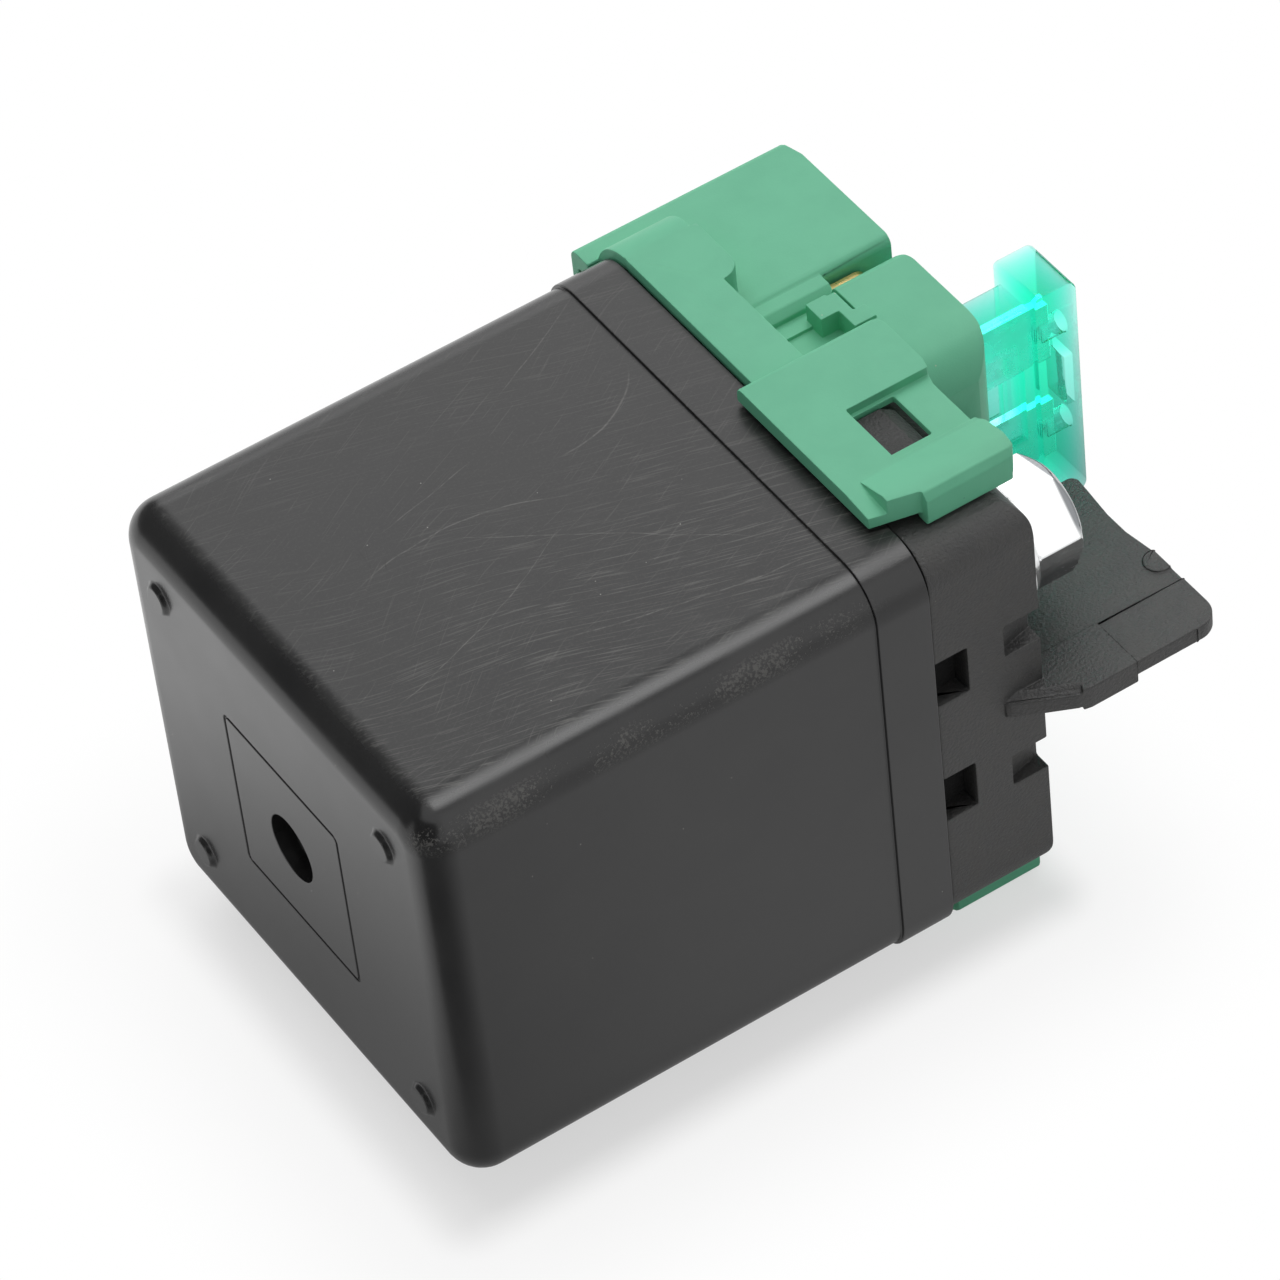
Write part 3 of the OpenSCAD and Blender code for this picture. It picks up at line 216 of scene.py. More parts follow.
def make_scratches():
    """Long thin scuffs that run one way round Z, wander a little and break off."""
    group, given, out = new_group(
        "scratch_lines", ["Vector"],
        ["Turn", "Lines per mm", "Length mm", "Width", "Share", "Wander mm"], ["Mask"])
    turned = add(group, "ShaderNodeVectorRotate",
                 {"Vector": given.outputs["Vector"], "Angle": given.outputs["Turn"]}, rotation_type="Z_AXIS")
    drift = calc(group, "MULTIPLY", calc(group, "SUBTRACT", cloudy(group, turned.outputs[0], 0.06, 1.0), 0.5),
                 calc(group, "MULTIPLY", given.outputs["Wander mm"], 4 * MM))
    place = add(group, "ShaderNodeSeparateXYZ", {0: turned.outputs[0]})
    along = calc(group, "DIVIDE", place.outputs[0], calc(group, "MULTIPLY", given.outputs["Length mm"], MM))
    across_scale = calc(group, "MULTIPLY", given.outputs["Lines per mm"], 1000)
    across = calc(group, "MULTIPLY", calc(group, "ADD", place.outputs[1], drift), across_scale)
    deep = calc(group, "MULTIPLY", calc(group, "ADD", place.outputs[2], drift), across_scale)
    stretched = add(group, "ShaderNodeCombineXYZ", {0: along, 1: across, 2: deep})
    cells = add(group, "ShaderNodeTexVoronoi", {"Vector": stretched.outputs[0], "Scale": 1.0},
                feature="DISTANCE_TO_EDGE")
    line = ramp(group, cells.outputs["Distance"], given.outputs["Width"], 0.0)
    kept = share_of(group, cloudy(group, given.outputs["Vector"], 0.17, 2.0, 0.7), given.outputs["Share"],
                    0.78, 0.5, 0.12)
    group.links.new(calc(group, "MULTIPLY", line, kept), out.inputs["Mask"])
    return group


def make_streaks():
    """Dense fine streaks that all run one way round Z, as rubbing on a bench leaves them."""
    group, given, out = new_group(
        "fine_streaks", ["Vector"], ["Turn", "Lines per mm", "Length mm", "Share", "Bow"], ["Mask"])
    slow = cloudy(group, given.outputs["Vector"], 0.045, 1.0)
    bow = calc(group, "MULTIPLY", calc(group, "SUBTRACT", slow, 0.5), given.outputs["Bow"])
    turned = add(group, "ShaderNodeVectorRotate",
                 {"Vector": given.outputs["Vector"], "Angle": calc(group, "ADD", given.outputs["Turn"], bow)},
                 rotation_type="Z_AXIS")
    place = add(group, "ShaderNodeSeparateXYZ", {0: turned.outputs[0]})
    along = calc(group, "DIVIDE", place.outputs[0], calc(group, "MULTIPLY", given.outputs["Length mm"], MM))
    per_metre = calc(group, "MULTIPLY", given.outputs["Lines per mm"], 1000)
    stretched = add(group, "ShaderNodeCombineXYZ", {
        0: along, 1: calc(group, "MULTIPLY", place.outputs[1], per_metre),
        2: calc(group, "MULTIPLY", place.outputs[2], per_metre)})
    # The stretched place counts lines instead of metres, so this is one wave to a line
    drawn_out = cloudy(group, stretched.outputs[0], MM, 2.0, 0.6)
    kept = share_of(group, drawn_out, given.outputs["Share"], 0.78, 0.3, 0.12)
    group.links.new(kept, out.inputs["Mask"])
    return group


def make_dust():
    """Single pale specks, one to a cell where the cell has one."""
    group, given, out = new_group("dust_specks", ["Vector"], ["Cell mm", "Size", "Share"], ["Mask"])
    scale = calc(group, "DIVIDE", 1000, given.outputs["Cell mm"])
    cells = add(group, "ShaderNodeTexVoronoi", {"Vector": given.outputs["Vector"], "Scale": scale})
    dot = ramp(group, cells.outputs["Distance"], given.outputs["Size"], 0.0)
    pick = add(group, "ShaderNodeSeparateColor", {0: cells.outputs["Color"]})
    kept = calc(group, "LESS_THAN", pick.outputs[0], given.outputs["Share"])
    group.links.new(calc(group, "MULTIPLY", dot, kept), out.inputs["Mask"])
    return group


def make_edge_wear():
    """Where an outer edge is rubbed, with a noise that breaks it up."""
    group, given, out = new_group("edge_wear", ["Vector"], ["Reach mm", "Share"], ["Mask"])
    reach = calc(group, "MULTIPLY", given.outputs["Reach mm"], MM)
    inside = add(group, "ShaderNodeAmbientOcclusion", {"Distance": reach}, inside=True, only_local=True,
                 samples=6)
    edge = ramp(group, inside.outputs["AO"], 0.75, 0.35)
    kept = share_of(group, cloudy(group, given.outputs["Vector"], 1.4, 4.0, 0.7), given.outputs["Share"],
                    0.75, 0.5, 0.15)
    group.links.new(calc(group, "MULTIPLY", edge, kept), out.inputs["Mask"])
    return group


def make_long_scratch():
    """One long bowed scratch: a thin arc round Centre, fading out on both sides of Middle."""
    group, given, out = new_group(
        "long_scratch", ["Vector", "Centre", "Middle"], ["Radius mm", "Half length mm", "Width mm"],
        ["Mask"])

    def distance(label):
        apart = add(group, "ShaderNodeVectorMath", {0: given.outputs["Vector"], 1: given.outputs[label]},
                    operation="DISTANCE")
        return calc(group, "MULTIPLY", apart.outputs["Value"], 1000)

    drift = calc(group, "MULTIPLY_ADD", cloudy(group, given.outputs["Vector"], 0.26, 1.0), 0.5, -0.25)
    off_arc = calc(group, "SUBTRACT", calc(group, "ADD", distance("Centre"), drift),
                   given.outputs["Radius mm"])
    line = ramp(group, calc(group, "ABSOLUTE", off_arc), given.outputs["Width mm"], 0.0)
    from_middle = calc(group, "DIVIDE", distance("Middle"), given.outputs["Half length mm"])
    line = calc(group, "MULTIPLY", line, ramp(group, from_middle, 1.0, 0.55))
    breaks = cloudy(group, given.outputs["Vector"], 0.9, 3.0, 0.7)
    broken = calc(group, "MULTIPLY_ADD", ramp(group, breaks, 0.38, 0.6), 0.75, 0.25)
    group.links.new(calc(group, "MULTIPLY", line, broken), out.inputs["Mask"])
    return group


GRAIN = make_grain()
SCRATCHES = make_scratches()
STREAKS = make_streaks()
DUST = make_dust()
EDGE_WEAR = make_edge_wear()
LONG_SCRATCH = make_long_scratch()

# Long scratches on the top of the case: start, middle and end in the relay's x and y, and the width
LONG_SCRATCHES = [
    ((9.2, 1.9), (17.0, 3.0), (25.4, 0.4), 0.10),
    ((13.0, 5.3), (17.3, 6.3), (20.5, 7.1), 0.08),
    ((27.3, 11.9), (31.4, 14.1), (35.6, 16.5), 0.08),
    ((27.9, 3.9), (31.6, 4.9), (35.6, 8.9), 0.11),
    ((15.9, 2.3), (24.9, -4.0), (31.3, -9.2), 0.07),
    ((17.2, -10.7), (26.2, -13.1), (34.2, -14.5), 0.10),
    ((6.0, -9.0), (14.0, -6.4), (23.0, -1.8), 0.07),
]


def arc_through(a, b, c):
    """Centre and radius of the circle through three points of a plane."""
    (ax, ay), (bx, by), (cx, cy) = a, b, c
    d = 2 * (ax * (by - cy) + bx * (cy - ay) + cx * (ay - by))
    x = ((ax**2 + ay**2) * (by - cy) + (bx**2 + by**2) * (cy - ay) + (cx**2 + cy**2) * (ay - by)) / d
    y = ((ax**2 + ay**2) * (cx - bx) + (bx**2 + by**2) * (ax - cx) + (cx**2 + cy**2) * (bx - ax)) / d
    return x, y, math.hypot(ax - x, ay - y)


def use(tree, group, where, values):
    made = tree.nodes.new("ShaderNodeGroup")
    made.node_tree = group
    tree.links.new(where, made.inputs["Vector"])
    for key, value in values.items():
        made.inputs[key].default_value = value
    return made


def blank_tree(owner):
    """The node tree of a material or of the world, emptied."""
    owner.use_nodes = True
    owner.node_tree.nodes.clear()
    return owner.node_tree


def show(tree, shader, output="ShaderNodeOutputMaterial"):
    out = tree.nodes.new(output)
    tree.links.new(shader.outputs[0], out.inputs["Surface"])


def new_material(name, preview):
    material = bpy.data.materials.new(name)
    material.diffuse_color = (*preview, 1.0)
    tree = blank_tree(material)
    skin = tree.nodes.new("ShaderNodeBsdfPrincipled")
    show(tree, skin)
    where = tree.nodes.new("ShaderNodeTexCoord").outputs["Object"]
    return material, tree, skin, where


def bumped(tree, height, depth_mm, strength):
    made = add(tree, "ShaderNodeBump", {"Height": height, "Distance": depth_mm * MM, "Strength": strength})
    return made.outputs[0]


# ---------------------------------------------------------------- finishes

# Pits and grains in the rubbed plastic of the case, to a millimetre
GRIT_PER_MM = 4.2


def case_plastic():
    """Black satin plastic, rubbed by handling: fine streaks, long scratches, dust and scuffed edges."""
    material, tree, skin, where = new_material("black_case_plastic", (0.02, 0.02, 0.022))
    grain = use(tree, GRAIN, where, {"Grains per mm": 7.0, "Mottle per mm": 0.16})
    streaks = use(tree, STREAKS, where, {"Turn": 0.31, "Lines per mm": 6.0, "Length mm": 5.0,
                                         "Share": 0.80, "Bow": 0.28})
    across = use(tree, STREAKS, where, {"Turn": -0.48, "Lines per mm": 5.0, "Length mm": 6.0,
                                        "Share": 0.60, "Bow": 0.6})
    grit = calc(tree, "MULTIPLY", ramp(tree, cloudy(tree, where, GRIT_PER_MM, 2.0, 0.7), 0.5, 0.75), 0.16)
    nicks = use(tree, SCRATCHES, where, {"Turn": 1.9, "Lines per mm": 0.9, "Length mm": 12.0,
                                         "Width": 0.05, "Share": 0.2, "Wander mm": 0.5})
    dust = use(tree, DUST, where, {"Cell mm": 2.0, "Size": 0.036, "Share": 0.42})
    wear = use(tree, EDGE_WEAR, where, {"Reach mm": 0.25, "Share": 0.35})
    place = add(tree, "ShaderNodeSeparateXYZ", {0: where})
    on_top = ramp(tree, place.outputs[2], at_z(CASE_TOP - 0.35), at_z(CASE_TOP - 0.02))
    to_front = ramp(tree, place.outputs[1], at_y(6), at_y(-9))
    patches = ramp(tree, cloudy(tree, where, 0.09), 0.34, 0.62)
    rubbed = calc(tree, "MULTIPLY", on_top, calc(tree, "MULTIPLY_ADD", to_front, 0.55,
                                                 calc(tree, "MULTIPLY", patches, 0.45)))
    marks = calc(tree, "MULTIPLY", streaks.outputs[0], calc(tree, "MULTIPLY", rubbed, 0.52))
    marks = calc(tree, "MULTIPLY_ADD", across.outputs[0], calc(tree, "MULTIPLY", on_top, 0.27), marks)
    marks = calc(tree, "MULTIPLY_ADD", grit, on_top, marks)
    marks = calc(tree, "MULTIPLY_ADD", wear.outputs[0], 0.4, marks)
    for start, middle, end, width in LONG_SCRATCHES:
        x, y, radius = arc_through(start, middle, end)
        half = math.hypot(end[0] - start[0], end[1] - start[1]) / 2
        line = use(tree, LONG_SCRATCH, where, {
            "Centre": at(x, y, CASE_TOP), "Middle": at(*middle, CASE_TOP), "Radius mm": radius,
            "Half length mm": half * 1.25, "Width mm": width})
        marks = calc(tree, "MULTIPLY_ADD", line.outputs[0], 0.8, marks)
    scuff = scuffed_edge(tree, where, place)
    marks = calc(tree, "MINIMUM", calc(tree, "ADD", marks, scuff), 1.0)
    base = blend_colour(tree, grain.outputs["Mottle"], (0.013, 0.013, 0.0135, 1), (0.018, 0.018, 0.018, 1))
    base = blend_colour(tree, marks, base, (0.115, 0.113, 0.106, 1))
    base = blend_colour(tree, calc(tree, "MULTIPLY", nicks.outputs[0], calc(tree, "MULTIPLY", on_top, 0.8)),
                        base, (0.003, 0.003, 0.003, 1))
    base = blend_colour(tree, dust.outputs[0], base, (0.45, 0.44, 0.41, 1))
    tree.links.new(base, skin.inputs["Base Color"])
    rough = calc(tree, "MULTIPLY_ADD", grain.outputs["Mottle"], 0.06, 0.20)
    rough = calc(tree, "MULTIPLY_ADD", on_top, 0.10, rough)
    rough = calc(tree, "MULTIPLY_ADD", marks, 0.25, rough)
    rough = calc(tree, "MAXIMUM", rough, calc(tree, "MULTIPLY", dust.outputs[0], 0.8))
    tree.links.new(rough, skin.inputs["Roughness"])
    skin.inputs["IOR"].default_value = 1.52
    height = calc(tree, "MULTIPLY_ADD", marks, -1.2, grain.outputs["Height"])
    height = calc(tree, "MULTIPLY_ADD", calc(tree, "MULTIPLY", nicks.outputs[0], on_top), -2.0, height)
    tree.links.new(bumped(tree, height, 0.006, 0.6), skin.inputs["Normal"])
    return material


def scuffed_edge(tree, where, place):
    """The whitish speckled scuff along the rounding between the top and the front."""
    x, y, z = place.outputs
    grit = cloudy(tree, where, GRIT_PER_MM, 3.0, 0.75)
    broad = cloudy(tree, where, 0.16)
    band = calc(tree, "MULTIPLY", ramp(tree, z, at_z(15.3), at_z(16.6)),
                ramp(tree, z, at_z(17.8), at_z(17.2)))
    front = ramp(tree, y, at_y(-17.6), at_y(-18.6))
    along = ramp(tree, x, at_x(38), at_x(32))
    low = calc(tree, "MULTIPLY_ADD", ramp(tree, broad, 0.3, 0.62), -0.15, 0.62)
    speckle = ramp(tree, grit, low, calc(tree, "ADD", low, 0.09))
    masked = calc(tree, "MULTIPLY", calc(tree, "MULTIPLY", band, front),
                  calc(tree, "MULTIPLY", along, speckle))
    return calc(tree, "MULTIPLY", masked, 0.8)


def head_plastic():
    """Black plastic with a coarse dry skin and rubbed, slightly flashed edges, with painted shade in its
    windows, under the clip and along the fin's steps.
    """
    material, tree, skin, where = new_material("black_head_plastic", (0.025, 0.025, 0.025))
    grain = use(tree, GRAIN, where, {"Grains per mm": 3.8, "Mottle per mm": 0.45})
    dust = use(tree, DUST, where, {"Cell mm": 1.1, "Size": 0.055, "Share": 0.36})
    wear = use(tree, EDGE_WEAR, where, {"Reach mm": 0.22, "Share": 0.5})
    base = blend_colour(tree, grain.outputs["Mottle"], (0.042, 0.042, 0.042, 1), (0.058, 0.057, 0.055, 1))
    base = blend_colour(tree, calc(tree, "MULTIPLY", wear.outputs[0], 0.55), base, (0.10, 0.098, 0.09, 1))
    base = blend_colour(tree, dust.outputs[0], base, (0.34, 0.32, 0.29, 1))
    place = add(tree, "ShaderNodeSeparateXYZ", {0: where})
    # Painted shade: the windows' insides and the fin's step lines go nearly black, and the catch under the
    # clip goes dark
    dark = calc(tree, "MAXIMUM", window_shade(tree, place), fin_step_shadows(tree, place, grain.outputs["Height"]))
    base = blend_colour(tree, calc(tree, "MULTIPLY", shade_under_clip(tree, place), 0.8), base,
                        (0.010, 0.010, 0.010, 1))
    base = blend_colour(tree, dark, base, (0.0005, 0.0005, 0.0005, 1))
    tree.links.new(base, skin.inputs["Base Color"])
    rough = calc(tree, "MULTIPLY_ADD", grain.outputs["Mottle"], 0.1, 0.46)
    rough = calc(tree, "MAXIMUM", rough, dark)
    tree.links.new(rough, skin.inputs["Roughness"])
    skin.inputs["IOR"].default_value = 1.5
    tree.links.new(bumped(tree, grain.outputs["Height"], 0.15, 0.85), skin.inputs["Normal"])
    return material


# A painted shade in one place of the head fades out over this much beside it
MARK_FADE = 0.1 * MM


def between(tree, value, low, high):
    """1 from low to high, going over to 0 on both sides."""
    return calc(tree, "MULTIPLY", ramp(tree, value, low - MARK_FADE, low),
                ramp(tree, value, high + MARK_FADE, high))


# Where shade is painted on the head: the two square windows in the head's front face, the catch under the
# clip window, and the shadow lines along the fin's steps
WINDOW_X, WINDOW_Y = (40.95, 43.55), (-19.5, -15.0)
UPPER_WINDOW_Z, LOWER_WINDOW_Z = (4.15, 8.25), (-7.45, -3.35)
CATCH_X, CATCH_Y = (43.8, 47.7), (-12.5, -4.5)
LONG_LINE_X, LONG_LINE_Y = (49.7, 56.6), (-17.86, -17.76)
SHORT_LINE_X, SHORT_LINE_Y = (55.74, 55.86), (-22.8, -17.8)


def x_within(tree, x, limits):
    return between(tree, x, at_x(limits[0]), at_x(limits[1]))


def y_within(tree, y, limits):
    return between(tree, y, at_y(limits[0]), at_y(limits[1]))


def z_within(tree, z, limits):
    return between(tree, z, at_z(limits[0]), at_z(limits[1]))


def window_shade(tree, place):
    """Painted shade: the deep square windows in the head's front face, painted black inside."""
    x, y, z = place.outputs
    high = calc(tree, "MAXIMUM", z_within(tree, z, UPPER_WINDOW_Z), z_within(tree, z, LOWER_WINDOW_Z))
    wide = calc(tree, "MULTIPLY", x_within(tree, x, WINDOW_X), high)
    return calc(tree, "MULTIPLY", y_within(tree, y, WINDOW_Y), wide)


def shade_under_clip(tree, place):
    """Painted shade on the catch that shows through the housing's clip window, under the strap."""
    x, y, z = place.outputs
    across = calc(tree, "MULTIPLY", x_within(tree, x, CATCH_X), y_within(tree, y, CATCH_Y))
    return calc(tree, "MULTIPLY", across, ramp(tree, z, at_z(17.3), at_z(17.6)))


def fin_step_shadows(tree, place, ragged):
    """Painted shadow lines along the steps that cross the fin's top face."""
    x, y, _ = place.outputs
    shift = calc(tree, "MULTIPLY_ADD", ragged, 0.5 * MM, -0.25 * MM)
    x = calc(tree, "ADD", x, shift)
    y = calc(tree, "ADD", y, shift)
    long_line = calc(tree, "MULTIPLY", y_within(tree, y, LONG_LINE_Y), x_within(tree, x, LONG_LINE_X))
    short_line = calc(tree, "MULTIPLY", x_within(tree, x, SHORT_LINE_X), y_within(tree, y, SHORT_LINE_Y))
    return calc(tree, "MULTIPLY", calc(tree, "MAXIMUM", long_line, short_line), 0.92)


def housing_plastic():
    """Sea-green moulded plastic with a soft sheen, faint flow marks and pale rubbed edges."""
    material, tree, skin, where = new_material("green_housing_plastic", (0.10, 0.42, 0.26))
    grain = use(tree, GRAIN, where, {"Grains per mm": 6.0, "Mottle per mm": 0.22})
    flow = use(tree, SCRATCHES, where, {"Turn": 1.35, "Lines per mm": 0.8, "Length mm": 12.0,
                                        "Width": 0.2, "Share": 0.5, "Wander mm": 0.8})
    dust = use(tree, DUST, where, {"Cell mm": 2.0, "Size": 0.04, "Share": 0.22})
    dark = use(tree, DUST, where, {"Cell mm": 3.1, "Size": 0.03, "Share": 0.25})
    wear = use(tree, EDGE_WEAR, where, {"Reach mm": 0.2, "Share": 0.62})
    base = blend_colour(tree, grain.outputs["Mottle"], (0.154, 0.545, 0.335, 1), (0.170, 0.578, 0.358, 1))
    base = blend_colour(tree, calc(tree, "MULTIPLY", flow.outputs[0], 0.10), base, (0.17, 0.50, 0.33, 1))
    base = blend_colour(tree, calc(tree, "MULTIPLY", wear.outputs[0], 0.30), base, (0.28, 0.62, 0.47, 1))
    base = blend_colour(tree, dust.outputs[0], base, (0.62, 0.60, 0.50, 1))
    base = blend_colour(tree, calc(tree, "MULTIPLY", dark.outputs[0], 0.6), base, (0.05, 0.12, 0.08, 1))
    tree.links.new(base, skin.inputs["Base Color"])
    rough = calc(tree, "MULTIPLY_ADD", grain.outputs["Mottle"], 0.08, 0.42)
    tree.links.new(rough, skin.inputs["Roughness"])
    skin.inputs["IOR"].default_value = 1.28
    tree.links.new(bumped(tree, grain.outputs["Height"], 0.012, 0.6), skin.inputs["Normal"])
    return material


def clear_fuse_plastic():
    """Clear tinted plastic, which darkens with its thickness."""
    material, tree, skin, where = new_material("clear_fuse_plastic", (0.1, 0.8, 0.5))
    grain = use(tree, GRAIN, where, {"Grains per mm": 2.2, "Mottle per mm": 0.5})
    wear = use(tree, EDGE_WEAR, where, {"Reach mm": 0.15, "Share": 0.5})
    base = blend_colour(tree, grain.outputs["Mottle"], (0.60, 1.0, 0.94, 1), (0.68, 1.0, 0.96, 1))
    tree.links.new(base, skin.inputs["Base Color"])
    rough = calc(tree, "MULTIPLY_ADD", wear.outputs[0], 0.2, 0.04)
    tree.links.new(rough, skin.inputs["Roughness"])
    skin.inputs["IOR"].default_value = 1.06
    skin.inputs["Transmission Weight"].default_value = 1.0
    skin.inputs["Coat Weight"].default_value = 0.35
    tree.links.new(bumped(tree, grain.outputs["Height"], 0.01, 0.4), skin.inputs["Normal"])
    depth = add(tree, "ShaderNodeVolumeAbsorption", {"Color": (0.0, 0.99, 0.85, 1), "Density": 430.0})
    out = next(n for n in tree.nodes if n.type == "OUTPUT_MATERIAL")
    tree.links.new(depth.outputs[0], out.inputs["Volume"])
    return material


def metal(name, colour, dull, roughness, brush=(1.6, 4.0), brush_turn=0.0, tarnish=0.35):
    """Bare or plated metal with a brushed or drawn grain, cloudy tarnish and bright rubbed edges.
    brush is the lines to a millimetre and their length in millimetres."""
    material, tree, skin, where = new_material(name, colour)
    grain = use(tree, GRAIN, where, {"Grains per mm": 9.0, "Mottle per mm": 0.7})
    drawn = use(tree, SCRATCHES, where, {"Turn": brush_turn, "Lines per mm": brush[0], "Length mm": brush[1],
                                         "Width": 0.16, "Share": 0.7, "Wander mm": 0.1})
    wear = use(tree, EDGE_WEAR, where, {"Reach mm": 0.15, "Share": 0.6})
    cloud = calc(tree, "MULTIPLY", grain.outputs["Mottle"], tarnish)
    base = blend_colour(tree, cloud, (*colour, 1), (*dull, 1))
    base = blend_colour(tree, calc(tree, "MULTIPLY", wear.outputs[0], 0.4), base,
                        (*[min(1.0, c * 1.25) for c in colour], 1))
    tree.links.new(base, skin.inputs["Base Color"])
    rough = calc(tree, "MULTIPLY_ADD", grain.outputs["Mottle"], 0.12, roughness)
    rough = calc(tree, "MULTIPLY_ADD", drawn.outputs[0], 0.08, rough)
    tree.links.new(rough, skin.inputs["Roughness"])
    skin.inputs["Metallic"].default_value = 1.0
    height = calc(tree, "MULTIPLY_ADD", drawn.outputs[0], -0.8, grain.outputs["Height"])
    tree.links.new(bumped(tree, height, 0.004, 0.5), skin.inputs["Normal"])
    return material


def bolt_plate():
    """Bright zinc plate, with painted reflection: dark along the top of the head's chamfer and grey low on
    its sides, where it would mirror the dark head and fin.
    """
    material = metal("bright_zinc_plate", (0.96, 0.97, 0.97), (0.84, 0.85, 0.85), 0.08)
    tree = material.node_tree
    skin = next(n for n in tree.nodes if n.type == "BSDF_PRINCIPLED")
    where = next(n for n in tree.nodes if n.type == "TEX_COORD").outputs["Object"]
    place = add(tree, "ShaderNodeSeparateXYZ", {0: where})
    x, _, z = place.outputs
    blotch = ramp(tree, cloudy(tree, where, 0.7, 3.0, 0.6), 0.30, 0.52)
    # Painted reflection: the chamfer's top and the low sides are darkened where they would mirror the dark
    # head and fin
    chamfer = calc(tree, "MULTIPLY", ramp(tree, x, at_x(54.75), at_x(55.0)),
                   ramp(tree, z, at_z(9.6), at_z(11.2)))
    low_side_reflection = calc(tree, "MULTIPLY", ramp(tree, z, at_z(8.9), at_z(7.0)), blotch)
    dull = calc(tree, "MAXIMUM", calc(tree, "MULTIPLY", chamfer, 0.9), calc(tree, "MULTIPLY", low_side_reflection, 0.75))
    # The grey here is the painted reflection of the dark head and fin
    base = blend_colour(tree, dull, skin.inputs["Base Color"].links[0].from_socket, (0.16, 0.17, 0.18, 1))
    tree.links.new(base, skin.inputs["Base Color"])
    return material


def moulded(name, light, dark, roughness, grains=5.0, depth_mm=0.02):
    """Plain moulded plastic, board or rubber with a mottled, grained skin."""
    material, tree, skin, where = new_material(name, light)
    grain = use(tree, GRAIN, where, {"Grains per mm": grains, "Mottle per mm": 0.4})
    wear = use(tree, EDGE_WEAR, where, {"Reach mm": 0.2, "Share": 0.4})
    base = blend_colour(tree, grain.outputs["Mottle"], (*light, 1), (*dark, 1))
    base = blend_colour(tree, calc(tree, "MULTIPLY", wear.outputs[0], 0.3), base,
                        (*[min(1.0, c * 1.6 + 0.02) for c in light], 1))
    tree.links.new(base, skin.inputs["Base Color"])
    rough = calc(tree, "MULTIPLY_ADD", grain.outputs["Mottle"], 0.1, roughness)
    tree.links.new(rough, skin.inputs["Roughness"])
    tree.links.new(bumped(tree, grain.outputs["Height"], depth_mm, 0.6), skin.inputs["Normal"])
    return material


FINISH = {
    "black_case": case_plastic(),
    "black_head": head_plastic(),
    "green_housing": housing_plastic(),
    "fuse_plastic": clear_fuse_plastic(),
    "plated_bolt": bolt_plate(),
    "copper": metal("bare_copper", (0.80, 0.42, 0.27), (0.50, 0.22, 0.13), 0.26),
    "winding_copper": metal("varnished_copper_wire", (0.62, 0.26, 0.10), (0.40, 0.14, 0.05), 0.22,
                            tarnish=0.5),
    "magnet_steel": metal("zinc_plated_steel", (0.56, 0.56, 0.57), (0.38, 0.38, 0.38), 0.34,
                          brush_turn=1.57),
    "rod_steel": metal("turned_steel", (0.62, 0.63, 0.64), (0.45, 0.45, 0.46), 0.22, brush=(4.0, 6.0)),
    "spring_steel": metal("drawn_spring_wire", (0.60, 0.61, 0.62), (0.42, 0.42, 0.43), 0.25),
    "brass": metal("stamped_brass", (0.80, 0.60, 0.26), (0.55, 0.38, 0.14), 0.24),
    "fuse_metal": metal("tinned_zinc_strip", (0.95, 0.96, 0.95), (0.86, 0.87, 0.86), 0.22),
    "bobbin_plastic": moulded("natural_bobbin_plastic", (0.62, 0.56, 0.42), (0.52, 0.46, 0.33), 0.45),
    "insulator": moulded("brown_fibre_board", (0.20, 0.085, 0.040), (0.13, 0.055, 0.025), 0.6),
    "seal_rubber": moulded("black_rubber", (0.024, 0.024, 0.024), (0.034, 0.034, 0.034), 0.65, 4.0, 0.03),
}
SLOT_OF = {part["node"]: part["material_slot"] for part in frame["record"]["subparts"]}


def finish_inner_nodes(dressed):
    """Nodes whose CAD shape is right keep it and get their real finish."""
    for name, node in frame["nodes"].items():
        if name in dressed:
            continue
        if not node.material_slots:
            node.data.materials.append(None)
        for holder in node.material_slots:
            holder.material = FINISH[SLOT_OF[name]]


# ---------------------------------------------------------------- the relay's visible pieces

def dress(node, name, body, edge_mm, merge_mm=DOUBLE_POINTS_MM):
    """Replaces a node by its rounded copy, which rides the node's body and has its finish."""
    piece = rounded_copy(node, name, edge_mm, merge_mm)
    use_finish(piece, node)
    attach(piece, body)
    return piece


def use_finish(piece, node):
    """The piece stands for the node, and takes the finish of the node's material slot."""
    piece.data.materials.clear()
    piece.data.materials.append(FINISH[SLOT_OF[node]])
    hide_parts(node)


# Where the housing's fine steps meet, points closer than this would fold over in the rounding
HOUSING_MERGE_MM = 0.06

DRESSED = {
    "case_cup": dress("case_cup", "case_shell", "case", 0.10),
    "terminal_head": dress("terminal_head", "head_moulding", "case", 0.14),
    "connector_housing": dress("connector_housing", "housing_moulding", "case", 0.12, HOUSING_MERGE_MM),
    "terminal_bolt": dress("terminal_bolt", "plated_bolt", "case", 0.15),
    "fuse_body": dress("fuse_body", "fuse_moulding", "fuse", 0.10),
}


def wind_spring(node, name):
    """A coil spring along X, as a merged copy shaded smooth, with its finish in place of the CAD node."""
    piece = merged_copy(node, name)
    bpy.ops.object.shade_smooth_by_angle(angle=SMOOTH_WIRE_UP_TO)
    use_finish(piece, node)
    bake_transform(piece)
    return piece


DRESSED["return_spring"] = wind_spring("return_spring", "return_coil_spring")
DRESSED["contact_spring"] = wind_spring("contact_spring", "contact_coil_spring")
finish_inner_nodes(DRESSED)


# ---------------------------------------------------------------- floor, light and camera

